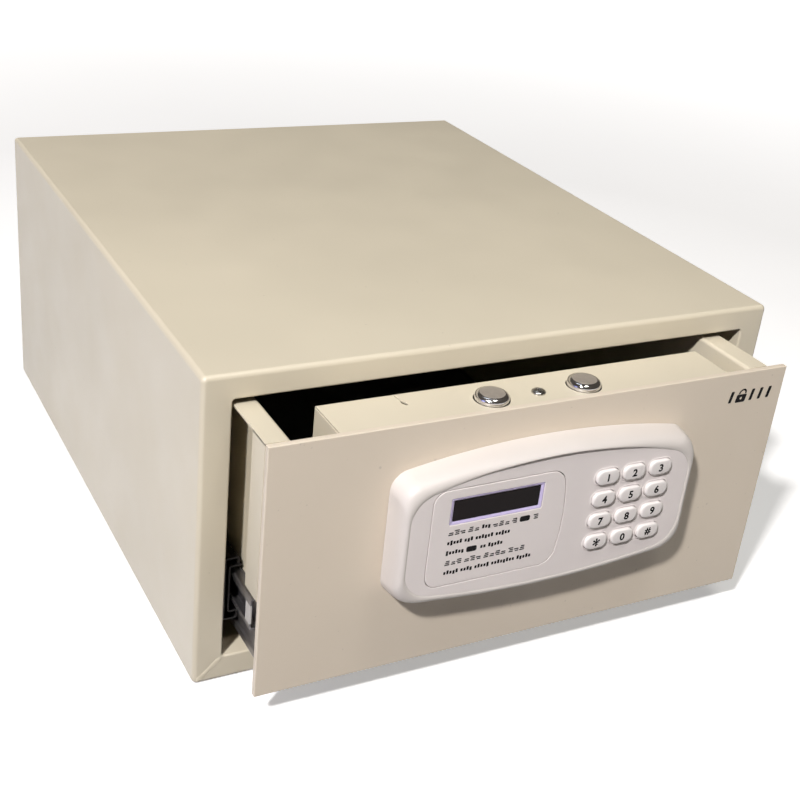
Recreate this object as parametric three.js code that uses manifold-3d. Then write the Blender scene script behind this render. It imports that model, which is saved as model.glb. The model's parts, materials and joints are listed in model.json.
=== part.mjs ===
// In-room safe: a steel case with a sliding drawer, motor-driven bolts and a keypad.
// Millimetres, +Z up. The drawer opens towards -Y and stands a little open at rest.
import * as THREE from 'three';
import { mergeVertices } from 'three/addons/utils/BufferGeometryUtils.js';
import Module from 'manifold-3d';

const wasm = await Module();
wasm.setup();

// ---- driving dimensions --------------------------------------------------------------
const CASE_WIDTH = 400;
const CASE_DEPTH = 450;
const CASE_HEIGHT = 210;
const CASE_SHEET = 2;
const CASE_BEND = 3;
const OPENING_HALF = 181.5;
const OPENING_BOTTOM = 17.5;
const OPENING_TOP = 194;
const OPENING_CORNER = 2;
const RETURN_DEPTH = 4.8;
const ANCHOR_HOLE_RADIUS = 6;
const ANCHOR_X = 120;
const BOTTOM_ANCHOR_Y = 240;
const BACK_ANCHOR_Z = 105;
const STRIKE_HALF = 75;
const STRIKE_EAR = 17;
const STRIKE_REAR = 36;

const DRAWER_OPEN = 48.5;
const FIT_GAP = 0.3;

const PANEL_HALF = 180;
const PANEL_BOTTOM = 23;
const PANEL_TOP = 190;
const PANEL_THICKNESS = 4;

const DRAWER_SHEET = 1.5;
const DRAWER_FRONT = PANEL_THICKNESS + FIT_GAP;
const DRAWER_REAR = 400;
const TRAY_BOTTOM = 27;
const CHANNEL_WIDTH = 15.3;
const LEFT_WALL = -164.7;
const RIGHT_WALL = 151.2;
const TRAY_REAR_TOP = 185;
const SIDE_RETURN_REAR = 22;
const SIDE_RETURN_BOTTOM = 88;
const MAT_THICKNESS = 3;

const SLIDE_CENTRE_Z = 60.5;
const SLIDE_HALF = 22.5;
const SLIDE_WIDTH = 12.7;
const SLIDE_SHEET = 1.2;
const SLIDE_FRONT = 8;
const SLIDE_REAR = 388;
const MIDDLE_FRONT = 32;
const INNER_FRONT = 28;
const BRACKET_FRONT = 18;
const BRACKET_REAR = 400;
const BRACKET_SHEET = 2;
const CAGE_FRONT = 125;
const CAGE_LENGTH = 110;
const CAGE_BALLS = 4;
const BALL_RADIUS = 1.9;

const LOCK_LEFT = -136.6;
const LOCK_RIGHT = 134.5;
const LOCK_TOP = 189.2;
const LOCK_BOTTOM = 29;
const LOCK_REAR = 38.5;
const LOCK_SHEET = 1.2;
const COVER_SCREW_X = -1.5;
const COVER_SCREW_Y = 15.4;
const SLIT_X = -88;
const SLIT_LENGTH = 14;
const DOOR_WINDOW = { x0: -122, x1: -66, z0: 79, z1: 133 };

const BOLT_RADIUS = 10.5;
const BOLT_LENGTH = 60;
const BOLT_TOP = 193.6;
const BOLT_Y = 16.2;
const BOLT_CENTRES = { bolt_left: -33.5, bolt_right: 31.5 };
const GUIDE_Z = 150;
const GUIDE_REAR = 36;

const GEAR_MODULE = 1;
const PINION_TEETH = 16;
const PINION_RADIUS = GEAR_MODULE * PINION_TEETH / 2;
const PINION_X = 12;
const PINION_Z = 100;
const PRESSURE_ANGLE = THREE.MathUtils.degToRad(20);
const GEAR_ADDENDUM = 0.8 * GEAR_MODULE;
const GEAR_DEDENDUM = 1.1 * GEAR_MODULE;
const GEAR_BACKLASH = 0.15;

const BATTERY_RADIUS = 7.1;
const BATTERY_PITCH = 15.2;
const BATTERY_LENGTH = 50.4;
const HOLDER_CENTRE_X = -94;

const KEYPAD_X = -0.5;
const KEYPAD_Z = 121;
const BEZEL_HALF_WIDTH = 104;
const BEZEL_HALF_HEIGHT = 49;
const BEZEL_TOP_RADIUS = 520;
const BEZEL_BOTTOM_RADIUS = 800;
const BEZEL_CORNER = 13;
const FIELD_DEPTH = 18;
const FIELD_THICKNESS = 2.2;
const KEY_FRONT = 20.6;
const KEY_COLUMNS = [34.5, 54.2, 73.9];
const KEY_ROWS = [23.1, 7.7, -7.7, -23.1];
const KEY_NAMES = ['1', '2', '3', '4', '5', '6', '7', '8', '9', 'star', '0', 'hash'];
const KEY_HALF_WIDTH = 8.3;
const KEY_HALF_HEIGHT = 5.0;
const DISPLAY_X = -41.5;
const DISPLAY_Z = 18.2;
const DISPLAY_WINDOW = [31.5, 9.1];
const INSERT_THICKNESS = 1.2;
const INSERT_POCKET = 1.5;
const CABLE_HOLE = { x: 58, z: 118, radius: 8 };

// ---- materials -----------------------------------------------------------------------
const paint = (color, roughness, metalness = 0) => new THREE.MeshStandardMaterial({
  color, roughness, metalness,
});
const CREAM = paint(0xd2cab0, 0.42);
const ZINC = paint(0xb9bcc0, 0.35, 1);
const CHROME = paint(0xd8d8dc, 0.08, 1);
const STEEL = paint(0x9a9a98, 0.45, 1);
const BRASS = paint(0xc2a457, 0.3, 1);
const WHITE_PLASTIC = paint(0xe9e4df, 0.4);
const BLACK_PLASTIC = paint(0x1b1b1d, 0.5);
const DARK_LENS = paint(0x1a0b10, 0.12);
const LILAC = paint(0xc4b9dc, 0.4);
const RUBBER = paint(0x8d8f92, 0.8);
const FELT = paint(0x17171a, 0.95);
const BOARD_GREEN = paint(0x1f5a37, 0.5);
const BATTERY_SKIN = paint(0x2b5d86, 0.3, 0.4);
const CABLE_RED = paint(0x8f1f1f, 0.5);

// ---- geometry helpers ----------------------------------------------------------------
// A profile drawn in X and Z, swept along Y from y0 to y1.
function sweepY(shape, y0, y1, curveSegments = 6) {
  const geometry = new THREE.ExtrudeGeometry(shape, {
    depth: y1 - y0, bevelEnabled: false, curveSegments,
  });
  geometry.rotateX(Math.PI / 2);
  geometry.translate(0, y1, 0);
  return geometry;
}

// A profile drawn in Y and Z, swept along X from x0 to x1.
function sweepX(shape, x0, x1, curveSegments = 6) {
  const geometry = new THREE.ExtrudeGeometry(shape, {
    depth: x1 - x0, bevelEnabled: false, curveSegments,
  });
  const turn = new THREE.Matrix4().makeBasis(
    new THREE.Vector3(0, 1, 0),
    new THREE.Vector3(0, 0, 1),
    new THREE.Vector3(1, 0, 0),
  );
  geometry.applyMatrix4(turn);
  geometry.translate(x0, 0, 0);
  return geometry;
}

function box(x0, x1, y0, y1, z0, z1) {
  const geometry = new THREE.BoxGeometry(x1 - x0, y1 - y0, z1 - z0);
  geometry.translate((x0 + x1) / 2, (y0 + y1) / 2, (z0 + z1) / 2);
  return geometry;
}

function cylinderZ(radius, x, y, z0, z1, segments = 24) {
  const geometry = new THREE.CylinderGeometry(radius, radius, z1 - z0, segments);
  geometry.rotateX(Math.PI / 2);
  geometry.translate(x, y, (z0 + z1) / 2);
  return geometry;
}

function cylinderY(radius, x, z, y0, y1, segments = 24) {
  const geometry = new THREE.CylinderGeometry(radius, radius, y1 - y0, segments);
  geometry.translate(x, (y0 + y1) / 2, z);
  return geometry;
}

function cylinderX(radius, y, z, x0, x1, segments = 20) {
  const geometry = new THREE.CylinderGeometry(radius, radius, x1 - x0, segments);
  geometry.rotateZ(Math.PI / 2);
  geometry.translate((x0 + x1) / 2, y, z);
  return geometry;
}

// A turned piece on the Z axis; the profile is [radius, z] and starts and ends on the axis.
function turned(profile, segments = 24) {
  const points = profile.map(([radius, z]) => new THREE.Vector2(radius, z));
  const geometry = new THREE.LatheGeometry(points, segments);
  geometry.rotateX(Math.PI / 2);
  return geometry;
}

function polygon(points) {
  return new THREE.Shape(points.map(([a, b]) => new THREE.Vector2(a, b)));
}

function roundedRectangle(x0, x1, z0, z1, radius) {
  const shape = new THREE.Shape();
  shape.moveTo(x0 + radius, z0);
  shape.lineTo(x1 - radius, z0);
  shape.absarc(x1 - radius, z0 + radius, radius, -Math.PI / 2, 0, false);
  shape.lineTo(x1, z1 - radius);
  shape.absarc(x1 - radius, z1 - radius, radius, 0, Math.PI / 2, false);
  shape.lineTo(x0 + radius, z1);
  shape.absarc(x0 + radius, z1 - radius, radius, Math.PI / 2, Math.PI, false);
  shape.lineTo(x0, z0 + radius);
  shape.absarc(x0 + radius, z0 + radius, radius, Math.PI, 1.5 * Math.PI, false);
  return shape;
}

// A closed body through rings of [x, z] points, one ring at each y, from back to front.
function loftY(rings) {
  const count = rings[0].points.length;
  const positions = [];
  rings.forEach(({ y, points }) => points.forEach(([x, z]) => positions.push(x, y, z)));
  const index = [];
  for (let ring = 0; ring + 1 < rings.length; ring += 1) {
    for (let i = 0; i < count; i += 1) {
      const a = ring * count + i;
      const b = ring * count + (i + 1) % count;
      index.push(a, b, a + count);
      index.push(b, b + count, a + count);
    }
  }
  const cap = (ring) => THREE.ShapeUtils.triangulateShape(
    rings[ring].points.map(([x, z]) => new THREE.Vector2(x, z)), [],
  );
  const last = (rings.length - 1) * count;
  cap(0).forEach(([a, b, c]) => index.push(a, c, b));
  cap(rings.length - 1).forEach(([a, b, c]) => index.push(last + a, last + b, last + c));
  const geometry = new THREE.BufferGeometry();
  geometry.setAttribute('position', new THREE.Float32BufferAttribute(positions, 3));
  geometry.setIndex(index);
  return geometry;
}

function toSolid(geometry) {
  const bare = geometry.clone();
  bare.deleteAttribute('normal');
  bare.deleteAttribute('uv');
  const merged = mergeVertices(bare, 1e-4);
  return new wasm.Manifold(new wasm.Mesh({
    numProp: 3,
    vertProperties: new Float32Array(merged.attributes.position.array),
    triVerts: new Uint32Array(merged.index.array),
  }));
}

function toGeometry(solid) {
  const mesh = solid.getMesh();
  const geometry = new THREE.BufferGeometry();
  geometry.setAttribute('position', new THREE.BufferAttribute(mesh.vertProperties, 3));
  geometry.setIndex(new THREE.BufferAttribute(mesh.triVerts, 1));
  return geometry;
}

function cut(base, ...tools) {
  const result = tools.reduce((solid, tool) => solid.subtract(toSolid(tool)), toSolid(base));
  return toGeometry(result);
}

function join(...pieces) {
  const [first, ...others] = pieces.map(toSolid);
  return toGeometry(others.reduce((solid, other) => solid.add(other), first));
}

function node(name, geometry, material) {
  const plain = geometry.index ? geometry.toNonIndexed() : geometry.clone();
  plain.computeVertexNormals();
  const mesh = new THREE.Mesh(plain, material);
  mesh.name = name;
  return mesh;
}

// ---- case ----------------------------------------------------------------------------
function openingProfile(grow) {
  return roundedRectangle(
    -OPENING_HALF - grow, OPENING_HALF + grow, OPENING_BOTTOM - grow, OPENING_TOP + grow,
    OPENING_CORNER + grow,
  );
}

// The front border turns back into a return flange on both sides and along the bottom.
function caseShell() {
  const half = CASE_WIDTH / 2;
  const inner = half - CASE_SHEET;
  const outside = sweepY(
    roundedRectangle(-half, half, 0, CASE_HEIGHT, CASE_BEND), 0, CASE_DEPTH, 2,
  );
  const cavity = sweepY(
    roundedRectangle(-inner, inner, CASE_SHEET, CASE_HEIGHT - CASE_SHEET, CASE_BEND - CASE_SHEET),
    CASE_SHEET, CASE_DEPTH + 1, 2,
  );
  const flange = cut(
    sweepY(openingProfile(CASE_SHEET), CASE_SHEET / 2, RETURN_DEPTH, 2),
    box(-half, half, CASE_SHEET, CASE_DEPTH, OPENING_TOP - 2 * OPENING_CORNER, CASE_HEIGHT),
  );
  const framed = join(cut(outside, cavity), flange);
  const opening = sweepY(openingProfile(0), -1, RETURN_DEPTH + 1, 2);
  return node('case_shell', cut(framed, opening, ...bottomAnchorHoles()), CREAM);
}

function bottomAnchorHoles() {
  return [-ANCHOR_X, ANCHOR_X].map(
    (x) => cylinderZ(ANCHOR_HOLE_RADIUS, x, BOTTOM_ANCHOR_Y, -1, CASE_SHEET + 1, 14),
  );
}

function backPanel() {
  const half = CASE_WIDTH / 2 - CASE_SHEET - FIT_GAP;
  const low = CASE_SHEET + FIT_GAP;
  const plate = sweepY(
    roundedRectangle(-half, half, low, CASE_HEIGHT - low, 1), CASE_DEPTH - CASE_SHEET, CASE_DEPTH, 2,
  );
  const holes = [-ANCHOR_X, ANCHOR_X].map(
    (x) => cylinderY(ANCHOR_HOLE_RADIUS, x, BACK_ANCHOR_Z, CASE_DEPTH - 3, CASE_DEPTH + 1, 14),
  );
  return node('back_panel', cut(plate, ...holes), CREAM);
}

// Plastic plug: a stem in the anchor hole and a head inside the case.
function anchorPlug(name, position, turn) {
  const stem = ANCHOR_HOLE_RADIUS - FIT_GAP;
  const headBottom = CASE_SHEET + FIT_GAP;
  const plug = node(name, turned([
    [0, FIT_GAP], [stem, FIT_GAP], [stem, headBottom], [9, headBottom],
    [9, headBottom + 1.2], [7.5, headBottom + 2], [0, headBottom + 2],
  ], 14), BLACK_PLASTIC);
  plug.position.set(...position);
  plug.rotation.x = turn;
  return plug;
}

// Hat-shaped plate welded under the case top; the raised bolts stand in its two holes.
function strikePlate() {
  const bottom = OPENING_TOP + FIT_GAP;
  const top = CASE_HEIGHT - CASE_SHEET - FIT_GAP;
  const ear = STRIKE_HALF + STRIKE_EAR;
  const inside = STRIKE_HALF - CASE_SHEET;
  const hat = polygon([
    [-ear, top], [-ear, top - CASE_SHEET], [-STRIKE_HALF, top - CASE_SHEET],
    [-STRIKE_HALF, bottom], [STRIKE_HALF, bottom],
    [STRIKE_HALF, top - CASE_SHEET], [ear, top - CASE_SHEET], [ear, top], [inside, top],
    [inside, bottom + CASE_SHEET], [-inside, bottom + CASE_SHEET], [-inside, top],
  ]);
  const plate = sweepY(hat, CASE_SHEET + FIT_GAP, STRIKE_REAR);
  const holes = Object.values(BOLT_CENTRES).map(
    (x) => cylinderZ(BOLT_RADIUS + 1, x, BOLT_Y, bottom - 1, bottom + CASE_SHEET + 1),
  );
  return node('strike_plate', cut(plate, ...holes), ZINC);
}

// ---- drawer slides -------------------------------------------------------------------
// u runs outwards from the drawer wall, v up and down from the middle of the slide.
const SIDES = [
  { name: 'left', wall: LEFT_WALL - DRAWER_SHEET - FIT_GAP, outwards: -1 },
  { name: 'right', wall: RIGHT_WALL + DRAWER_SHEET + FIT_GAP, outwards: 1 },
];

function slideProfile(side, points) {
  return polygon(points.map(([u, v]) => [side.wall + side.outwards * u, SLIDE_CENTRE_Z + v]));
}

// A channel that is the same above and below the middle, given by its upper half.
function channel(side, upperHalf) {
  const lowerHalf = upperHalf.map(([u, v]) => [u, -v]).reverse();
  return slideProfile(side, [...upperHalf, ...lowerHalf]);
}

// Hat-shaped spacer between the outer member and the case wall.
function slideBracket(side) {
  const web = SLIDE_WIDTH + FIT_GAP;
  const wall = Math.abs(CASE_WIDTH / 2 - CASE_SHEET - Math.abs(side.wall)) - FIT_GAP;
  const profile = channel(side, [
    [wall, 18], [wall, 34], [wall - BRACKET_SHEET, 34], [wall - BRACKET_SHEET, 20], [web, 20],
  ]);
  const inside = channel(side, [[wall + 1, 18], [web + BRACKET_SHEET, 18]]);
  const solid = cut(
    sweepY(profile, BRACKET_FRONT, BRACKET_REAR), sweepY(inside, 0, BRACKET_REAR + 20),
  );
  return node(`slide_bracket_${side.name}`, solid, STEEL);
}

function slideOuter(side) {
  const web = SLIDE_WIDTH - SLIDE_SHEET;
  const lip = SLIDE_HALF - 5;
  const profile = channel(side, [
    [SLIDE_WIDTH, SLIDE_HALF], [3, SLIDE_HALF], [3, lip], [4.2, lip],
    [4.2, SLIDE_HALF - SLIDE_SHEET], [web, SLIDE_HALF - SLIDE_SHEET],
  ]);
  return node(`slide_outer_${side.name}`, sweepY(profile, SLIDE_FRONT, SLIDE_REAR), ZINC);
}

function slideMiddle(side) {
  const profile = channel(side, [[9.9, 17], [1.8, 17], [1.8, 15.8], [8.7, 15.8]]);
  return node(`slide_middle_${side.name}`, sweepY(profile, MIDDLE_FRONT, SLIDE_REAR), ZINC);
}

// The drawer member: a deep mounting web with a kicked-out foot, two running flanges, and
// at the front an ear that meets the outer member when the drawer shuts.
function slideInner(side) {
  const front = DRAWER_FRONT + 0.9;
  const web = slideProfile(side, [
    [0, 11.4], [1.2, 11.4], [1.2, -27.2], [2.6, -28.6], [2.6, -33], [1.4, -33], [1.4, -29.1],
    [0, -27.7],
  ]);
  const flanges = [1, -1].map((up) => slideProfile(side, [
    [0.6, 11 * up], [6.9, 11 * up], [6.9, 6.5 * up], [5.7, 6.5 * up], [5.7, 9.8 * up],
    [0.6, 9.8 * up],
  ]));
  const ear = slideProfile(side, [[0.6, 8], [10, 8], [10, 20], [0.6, 20]]);
  return node(`slide_inner_${side.name}`, join(
    sweepY(web, front, SLIDE_REAR),
    ...flanges.map((flange) => sweepY(flange, INNER_FRONT, SLIDE_REAR - 0.3)),
    sweepY(ear, front + 0.1, front + 2),
  ), ZINC);
}

// A bent strip that spaces two rows of balls; the balls stand half in the strip.
function ballCage(name, side, strip, ballU, ballV) {
  const rail = sweepY(channel(side, strip), CAGE_FRONT, CAGE_FRONT + CAGE_LENGTH);
  const balls = [];
  for (let i = 0; i < CAGE_BALLS; i += 1) {
    [-ballV, ballV].forEach((v) => {
      const ball = new THREE.SphereGeometry(BALL_RADIUS, 6, 4);
      ball.translate(
        side.wall + side.outwards * ballU,
        CAGE_FRONT + CAGE_LENGTH * (i + 0.5) / CAGE_BALLS,
        SLIDE_CENTRE_Z + v,
      );
      balls.push(ball);
    });
  }
  return node(name, join(rail, ...balls), BRASS);
}

function outerBallCage(side) {
  return ballCage(`ball_cage_outer_${side.name}`, side, [
    [11, 19.45], [5, 19.45], [5, 18.85], [10.4, 18.85],
  ], 7.2, 19.15);
}

function innerBallCage(side) {
  return ballCage(`ball_cage_inner_${side.name}`, side, [
    [7.9, 13.7], [2.4, 13.7], [2.4, 13.1], [7.3, 13.1],
  ], 4.4, 13.4);
}

// ---- drawer body ---------------------------------------------------------------------
function frontPanel() {
  const plate = box(-PANEL_HALF, PANEL_HALF, 0, PANEL_THICKNESS, PANEL_BOTTOM, PANEL_TOP);
  const hole = cylinderY(
    CABLE_HOLE.radius, CABLE_HOLE.x, CABLE_HOLE.z, -1, PANEL_THICKNESS + 1, 20,
  );
  return node('front_panel', cut(plate, hole), CREAM);
}

function drawerTray() {
  const left = LEFT_WALL + FIT_GAP;
  const right = RIGHT_WALL - FIT_GAP;
  const rearInside = DRAWER_REAR - DRAWER_SHEET;
  const profile = polygon([
    [DRAWER_FRONT, TRAY_BOTTOM], [DRAWER_REAR, TRAY_BOTTOM], [DRAWER_REAR, TRAY_REAR_TOP],
    [rearInside, TRAY_REAR_TOP], [rearInside, TRAY_BOTTOM + DRAWER_SHEET],
    [DRAWER_FRONT, TRAY_BOTTOM + DRAWER_SHEET],
  ]);
  return node('drawer_tray', sweepX(profile, left, right), CREAM);
}

// Side wall folded outwards at the top over the slide, with a short return behind the panel.
function drawerSide(side) {
  const inner = side.name === 'left' ? LEFT_WALL : RIGHT_WALL;
  const at = (u, z) => [inner + side.outwards * u, z];
  const top = PANEL_TOP;
  const sheet = DRAWER_SHEET;
  const wallAndFlange = polygon([
    at(0, TRAY_BOTTOM), at(sheet, TRAY_BOTTOM), at(sheet, top - sheet),
    at(CHANNEL_WIDTH, top - sheet), at(CHANNEL_WIDTH, top), at(0.6, top), at(0, top - 0.6),
  ]);
  const frontReturn = polygon([
    at(CHANNEL_WIDTH - sheet, SIDE_RETURN_BOTTOM), at(CHANNEL_WIDTH, SIDE_RETURN_BOTTOM),
    at(CHANNEL_WIDTH, top - sheet / 2), at(CHANNEL_WIDTH - sheet, top - sheet / 2),
  ]);
  return node(`drawer_side_${side.name}`, join(
    sweepY(wallAndFlange, DRAWER_FRONT, DRAWER_REAR),
    sweepY(frontReturn, DRAWER_FRONT, SIDE_RETURN_REAR),
  ), CREAM);
}

function drawerMat() {
  const bottom = TRAY_BOTTOM + DRAWER_SHEET + FIT_GAP;
  return node('drawer_mat', box(
    LEFT_WALL + 2, RIGHT_WALL - 2, LOCK_REAR + 2, DRAWER_REAR - 4,
    bottom, bottom + MAT_THICKNESS,
  ), FELT);
}

// ---- lock box ------------------------------------------------------------------------
// Folded cover over the lock works: top, rear and two side walls.
function lockCover() {
  const outside = box(LOCK_LEFT, LOCK_RIGHT, DRAWER_FRONT, LOCK_REAR, LOCK_BOTTOM, LOCK_TOP);
  const inside = box(
    LOCK_LEFT + LOCK_SHEET, LOCK_RIGHT - LOCK_SHEET, DRAWER_FRONT - 1, LOCK_REAR - LOCK_SHEET,
    LOCK_BOTTOM - 1, LOCK_TOP - LOCK_SHEET,
  );
  const boltHoles = Object.values(BOLT_CENTRES).map(
    (x) => cylinderZ(BOLT_RADIUS + 0.6, x, BOLT_Y, LOCK_TOP - 3, LOCK_TOP + 1, 24),
  );
  const screwHole = cylinderZ(2.2, COVER_SCREW_X, COVER_SCREW_Y, LOCK_TOP - 3, LOCK_TOP + 1, 12);
  const window = box(
    DOOR_WINDOW.x0, DOOR_WINDOW.x1, LOCK_REAR - 3, LOCK_REAR + 1, DOOR_WINDOW.z0, DOOR_WINDOW.z1,
  );
  const reliefSlit = box(
    SLIT_X - 0.5, SLIT_X + 0.5, LOCK_REAR - SLIT_LENGTH, LOCK_REAR + 1, LOCK_TOP - 3, LOCK_TOP + 1,
  );
  return node(
    'lock_cover', cut(outside, inside, ...boltHoles, screwHole, window, reliefSlit), CREAM,
  );
}

function coverScrew() {
  const screw = node('cover_screw', turned([
    [0, -12], [1.8, -12], [1.8, FIT_GAP], [4.4, FIT_GAP], [4.4, 1], [3.4, 1.9], [0, 2.3],
  ], 16), ZINC);
  screw.position.set(COVER_SCREW_X, COVER_SCREW_Y, LOCK_TOP);
  return screw;
}

// Lid over the batteries, hinged along its lower outer edge.
function batteryDoor() {
  const clearance = 0.4;
  const plate = box(
    DOOR_WINDOW.x0 + clearance, DOOR_WINDOW.x1 - clearance, LOCK_REAR - LOCK_SHEET, LOCK_REAR,
    DOOR_WINDOW.z0 + clearance, DOOR_WINDOW.z1 - clearance,
  );
  const pull = box(-101, -87, LOCK_REAR - 0.5, LOCK_REAR + 3, DOOR_WINDOW.z1 - 6, DOOR_WINDOW.z1 - 4);
  return node('battery_door', join(plate, pull), CREAM);
}

function batteryHolder() {
  const halfWidth = 2 * BATTERY_PITCH + 2;
  const outside = box(
    HOLDER_CENTRE_X - halfWidth, HOLDER_CENTRE_X + halfWidth, 17, 36.5, 78.5, 133.5,
  );
  const inside = box(
    HOLDER_CENTRE_X - halfWidth + 1.5, HOLDER_CENTRE_X + halfWidth - 1.5, 18.5, 38, 80.2, 131.8,
  );
  return node('battery_holder', cut(outside, inside), BLACK_PLASTIC);
}

function battery(place) {
  const cell = node(`battery_${place + 1}`, turned([
    [0, 0], [BATTERY_RADIUS - 0.5, 0], [BATTERY_RADIUS, 0.5], [BATTERY_RADIUS, BATTERY_LENGTH - 2],
    [BATTERY_RADIUS - 0.6, BATTERY_LENGTH - 1.4], [2.7, BATTERY_LENGTH - 1.4],
    [2.7, BATTERY_LENGTH], [0, BATTERY_LENGTH],
  ], 16), BATTERY_SKIN);
  const flipped = place % 2 === 1;
  cell.rotation.x = flipped ? Math.PI : 0;
  cell.position.set(
    HOLDER_CENTRE_X + (place - 1.5) * BATTERY_PITCH, 26.4, flipped ? 80.8 + BATTERY_LENGTH : 80.8,
  );
  return cell;
}

// Circuit board with its relay, connector and chips on the front side.
function controlBoard() {
  const board = box(62, 126, 26, 27.6, 96, 166);
  const parts = [
    box(78, 90, 19, 26.5, 130, 140),
    box(100, 118, 16, 26.5, 104, 120),
    box(70, 84, 24.5, 26.5, 104, 118),
    box(98, 116, 23.5, 26.5, 144, 156),
  ];
  return node('control_board', join(board, ...parts), BOARD_GREEN);
}

// ---- bolt work -----------------------------------------------------------------------
function bolt(name) {
  const edge = 1.2;
  const piece = node(name, turned([
    [0, 0], [BOLT_RADIUS - 0.5, 0], [BOLT_RADIUS, 0.5], [BOLT_RADIUS, BOLT_LENGTH - edge],
    [BOLT_RADIUS - 0.5 * edge, BOLT_LENGTH - 0.3], [BOLT_RADIUS - 1.1 * edge, BOLT_LENGTH],
    [0, BOLT_LENGTH],
  ], 24), CHROME);
  piece.position.set(BOLT_CENTRES[name], BOLT_Y, BOLT_TOP - BOLT_LENGTH);
  return piece;
}

// Rack teeth face +X; the middle of one tooth is level with the pinion's axis.
function rackOutline(bottom, top, back) {
  const pitchX = PINION_X - PINION_RADIUS;
  const pitch = Math.PI * GEAR_MODULE;
  const slope = Math.tan(PRESSURE_ANGLE);
  const halfAtPitch = (pitch / 2 - GEAR_BACKLASH) / 2;
  const halfAtTip = halfAtPitch - GEAR_ADDENDUM * slope;
  const halfAtRoot = halfAtPitch + GEAR_DEDENDUM * slope;
  const points = [[back, top], [back, bottom], [pitchX - GEAR_DEDENDUM, bottom]];
  const first = Math.ceil((bottom + 2 - PINION_Z) / pitch);
  const last = Math.floor((top - 2 - PINION_Z) / pitch);
  for (let tooth = first; tooth <= last; tooth += 1) {
    const middle = PINION_Z + tooth * pitch;
    points.push([pitchX - GEAR_DEDENDUM, middle - halfAtRoot]);
    points.push([pitchX + GEAR_ADDENDUM, middle - halfAtTip]);
    points.push([pitchX + GEAR_ADDENDUM, middle + halfAtTip]);
    points.push([pitchX - GEAR_DEDENDUM, middle + halfAtRoot]);
  }
  points.push([pitchX - GEAR_DEDENDUM, top]);
  return polygon(points);
}

function boltCarrier() {
  const top = BOLT_TOP - BOLT_LENGTH - FIT_GAP;
  const bar = box(-46, 44, 8.2, 24.2, top - 12, top);
  const rack = sweepY(rackOutline(76, top - 11.5, -4.5), 12, 20);
  return node('bolt_carrier', join(bar, rack), ZINC);
}

function pinionOutline() {
  const base = PINION_RADIUS * Math.cos(PRESSURE_ANGLE);
  const involute = (angle) => Math.tan(angle) - angle;
  const halfAtPitch = (Math.PI * GEAR_MODULE / 2 - GEAR_BACKLASH) / 2 / PINION_RADIUS;
  const halfAngle = (radius) => halfAtPitch + involute(PRESSURE_ANGLE)
    - involute(Math.acos(Math.min(1, base / radius)));
  const root = PINION_RADIUS - GEAR_DEDENDUM;
  const flank = [
    [root, halfAngle(base)],
    [base, halfAngle(base)],
    [PINION_RADIUS, halfAngle(PINION_RADIUS)],
    [PINION_RADIUS + GEAR_ADDENDUM, halfAngle(PINION_RADIUS + GEAR_ADDENDUM)],
  ];
  const points = [];
  for (let tooth = 0; tooth < PINION_TEETH; tooth += 1) {
    const middle = Math.PI + (tooth + 0.5) * 2 * Math.PI / PINION_TEETH;
    const sides = [
      ...flank.map(([radius, half]) => [radius, middle - half]),
      ...flank.map(([radius, half]) => [radius, middle + half]).reverse(),
    ];
    sides.forEach(([radius, angle]) => points.push(
      [PINION_X + radius * Math.cos(angle), PINION_Z + radius * Math.sin(angle)],
    ));
  }
  return polygon(points);
}

function motorPinion() {
  return node('motor_pinion', join(
    sweepY(pinionOutline(), 12.3, 19.7),
    cylinderY(3, PINION_X, PINION_Z, 11, 26, 16),
  ), BRASS);
}

function lockMotor() {
  const gearbox = box(PINION_X - 14, PINION_X + 14, 20.8, 36.5, PINION_Z - 14, PINION_Z + 14);
  const can = cylinderX(7.4, 28.6, PINION_Z, PINION_X + 13, PINION_X + 42);
  const shaftHole = cylinderY(3.4, PINION_X, PINION_Z, 20, 26.6, 16);
  return node('lock_motor', cut(join(gearbox, can), shaftHole), STEEL);
}

function motorBracket() {
  const top = PINION_Z - 14 - FIT_GAP;
  const profile = polygon([
    [DRAWER_FRONT, top - 24], [DRAWER_FRONT + 2, top - 24], [DRAWER_FRONT + 2, top - 2],
    [36, top - 2], [36, top], [DRAWER_FRONT, top],
  ]);
  return node('motor_bracket', sweepX(profile, 8, 40), ZINC);
}

// Angle welded behind the panel; it holds both bolts upright.
function boltGuide() {
  const profile = polygon([
    [DRAWER_FRONT, GUIDE_Z + 16], [DRAWER_FRONT, GUIDE_Z], [GUIDE_REAR, GUIDE_Z],
    [GUIDE_REAR, GUIDE_Z + 3], [DRAWER_FRONT + 1, GUIDE_Z + 3], [DRAWER_FRONT + 1, GUIDE_Z + 16],
  ]);
  const holes = Object.values(BOLT_CENTRES).map(
    (x) => cylinderZ(BOLT_RADIUS + FIT_GAP, x, BOLT_Y, GUIDE_Z - 1, GUIDE_Z + 4, 24),
  );
  return node('bolt_guide', cut(sweepX(profile, -60, 56), ...holes), ZINC);
}

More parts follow.
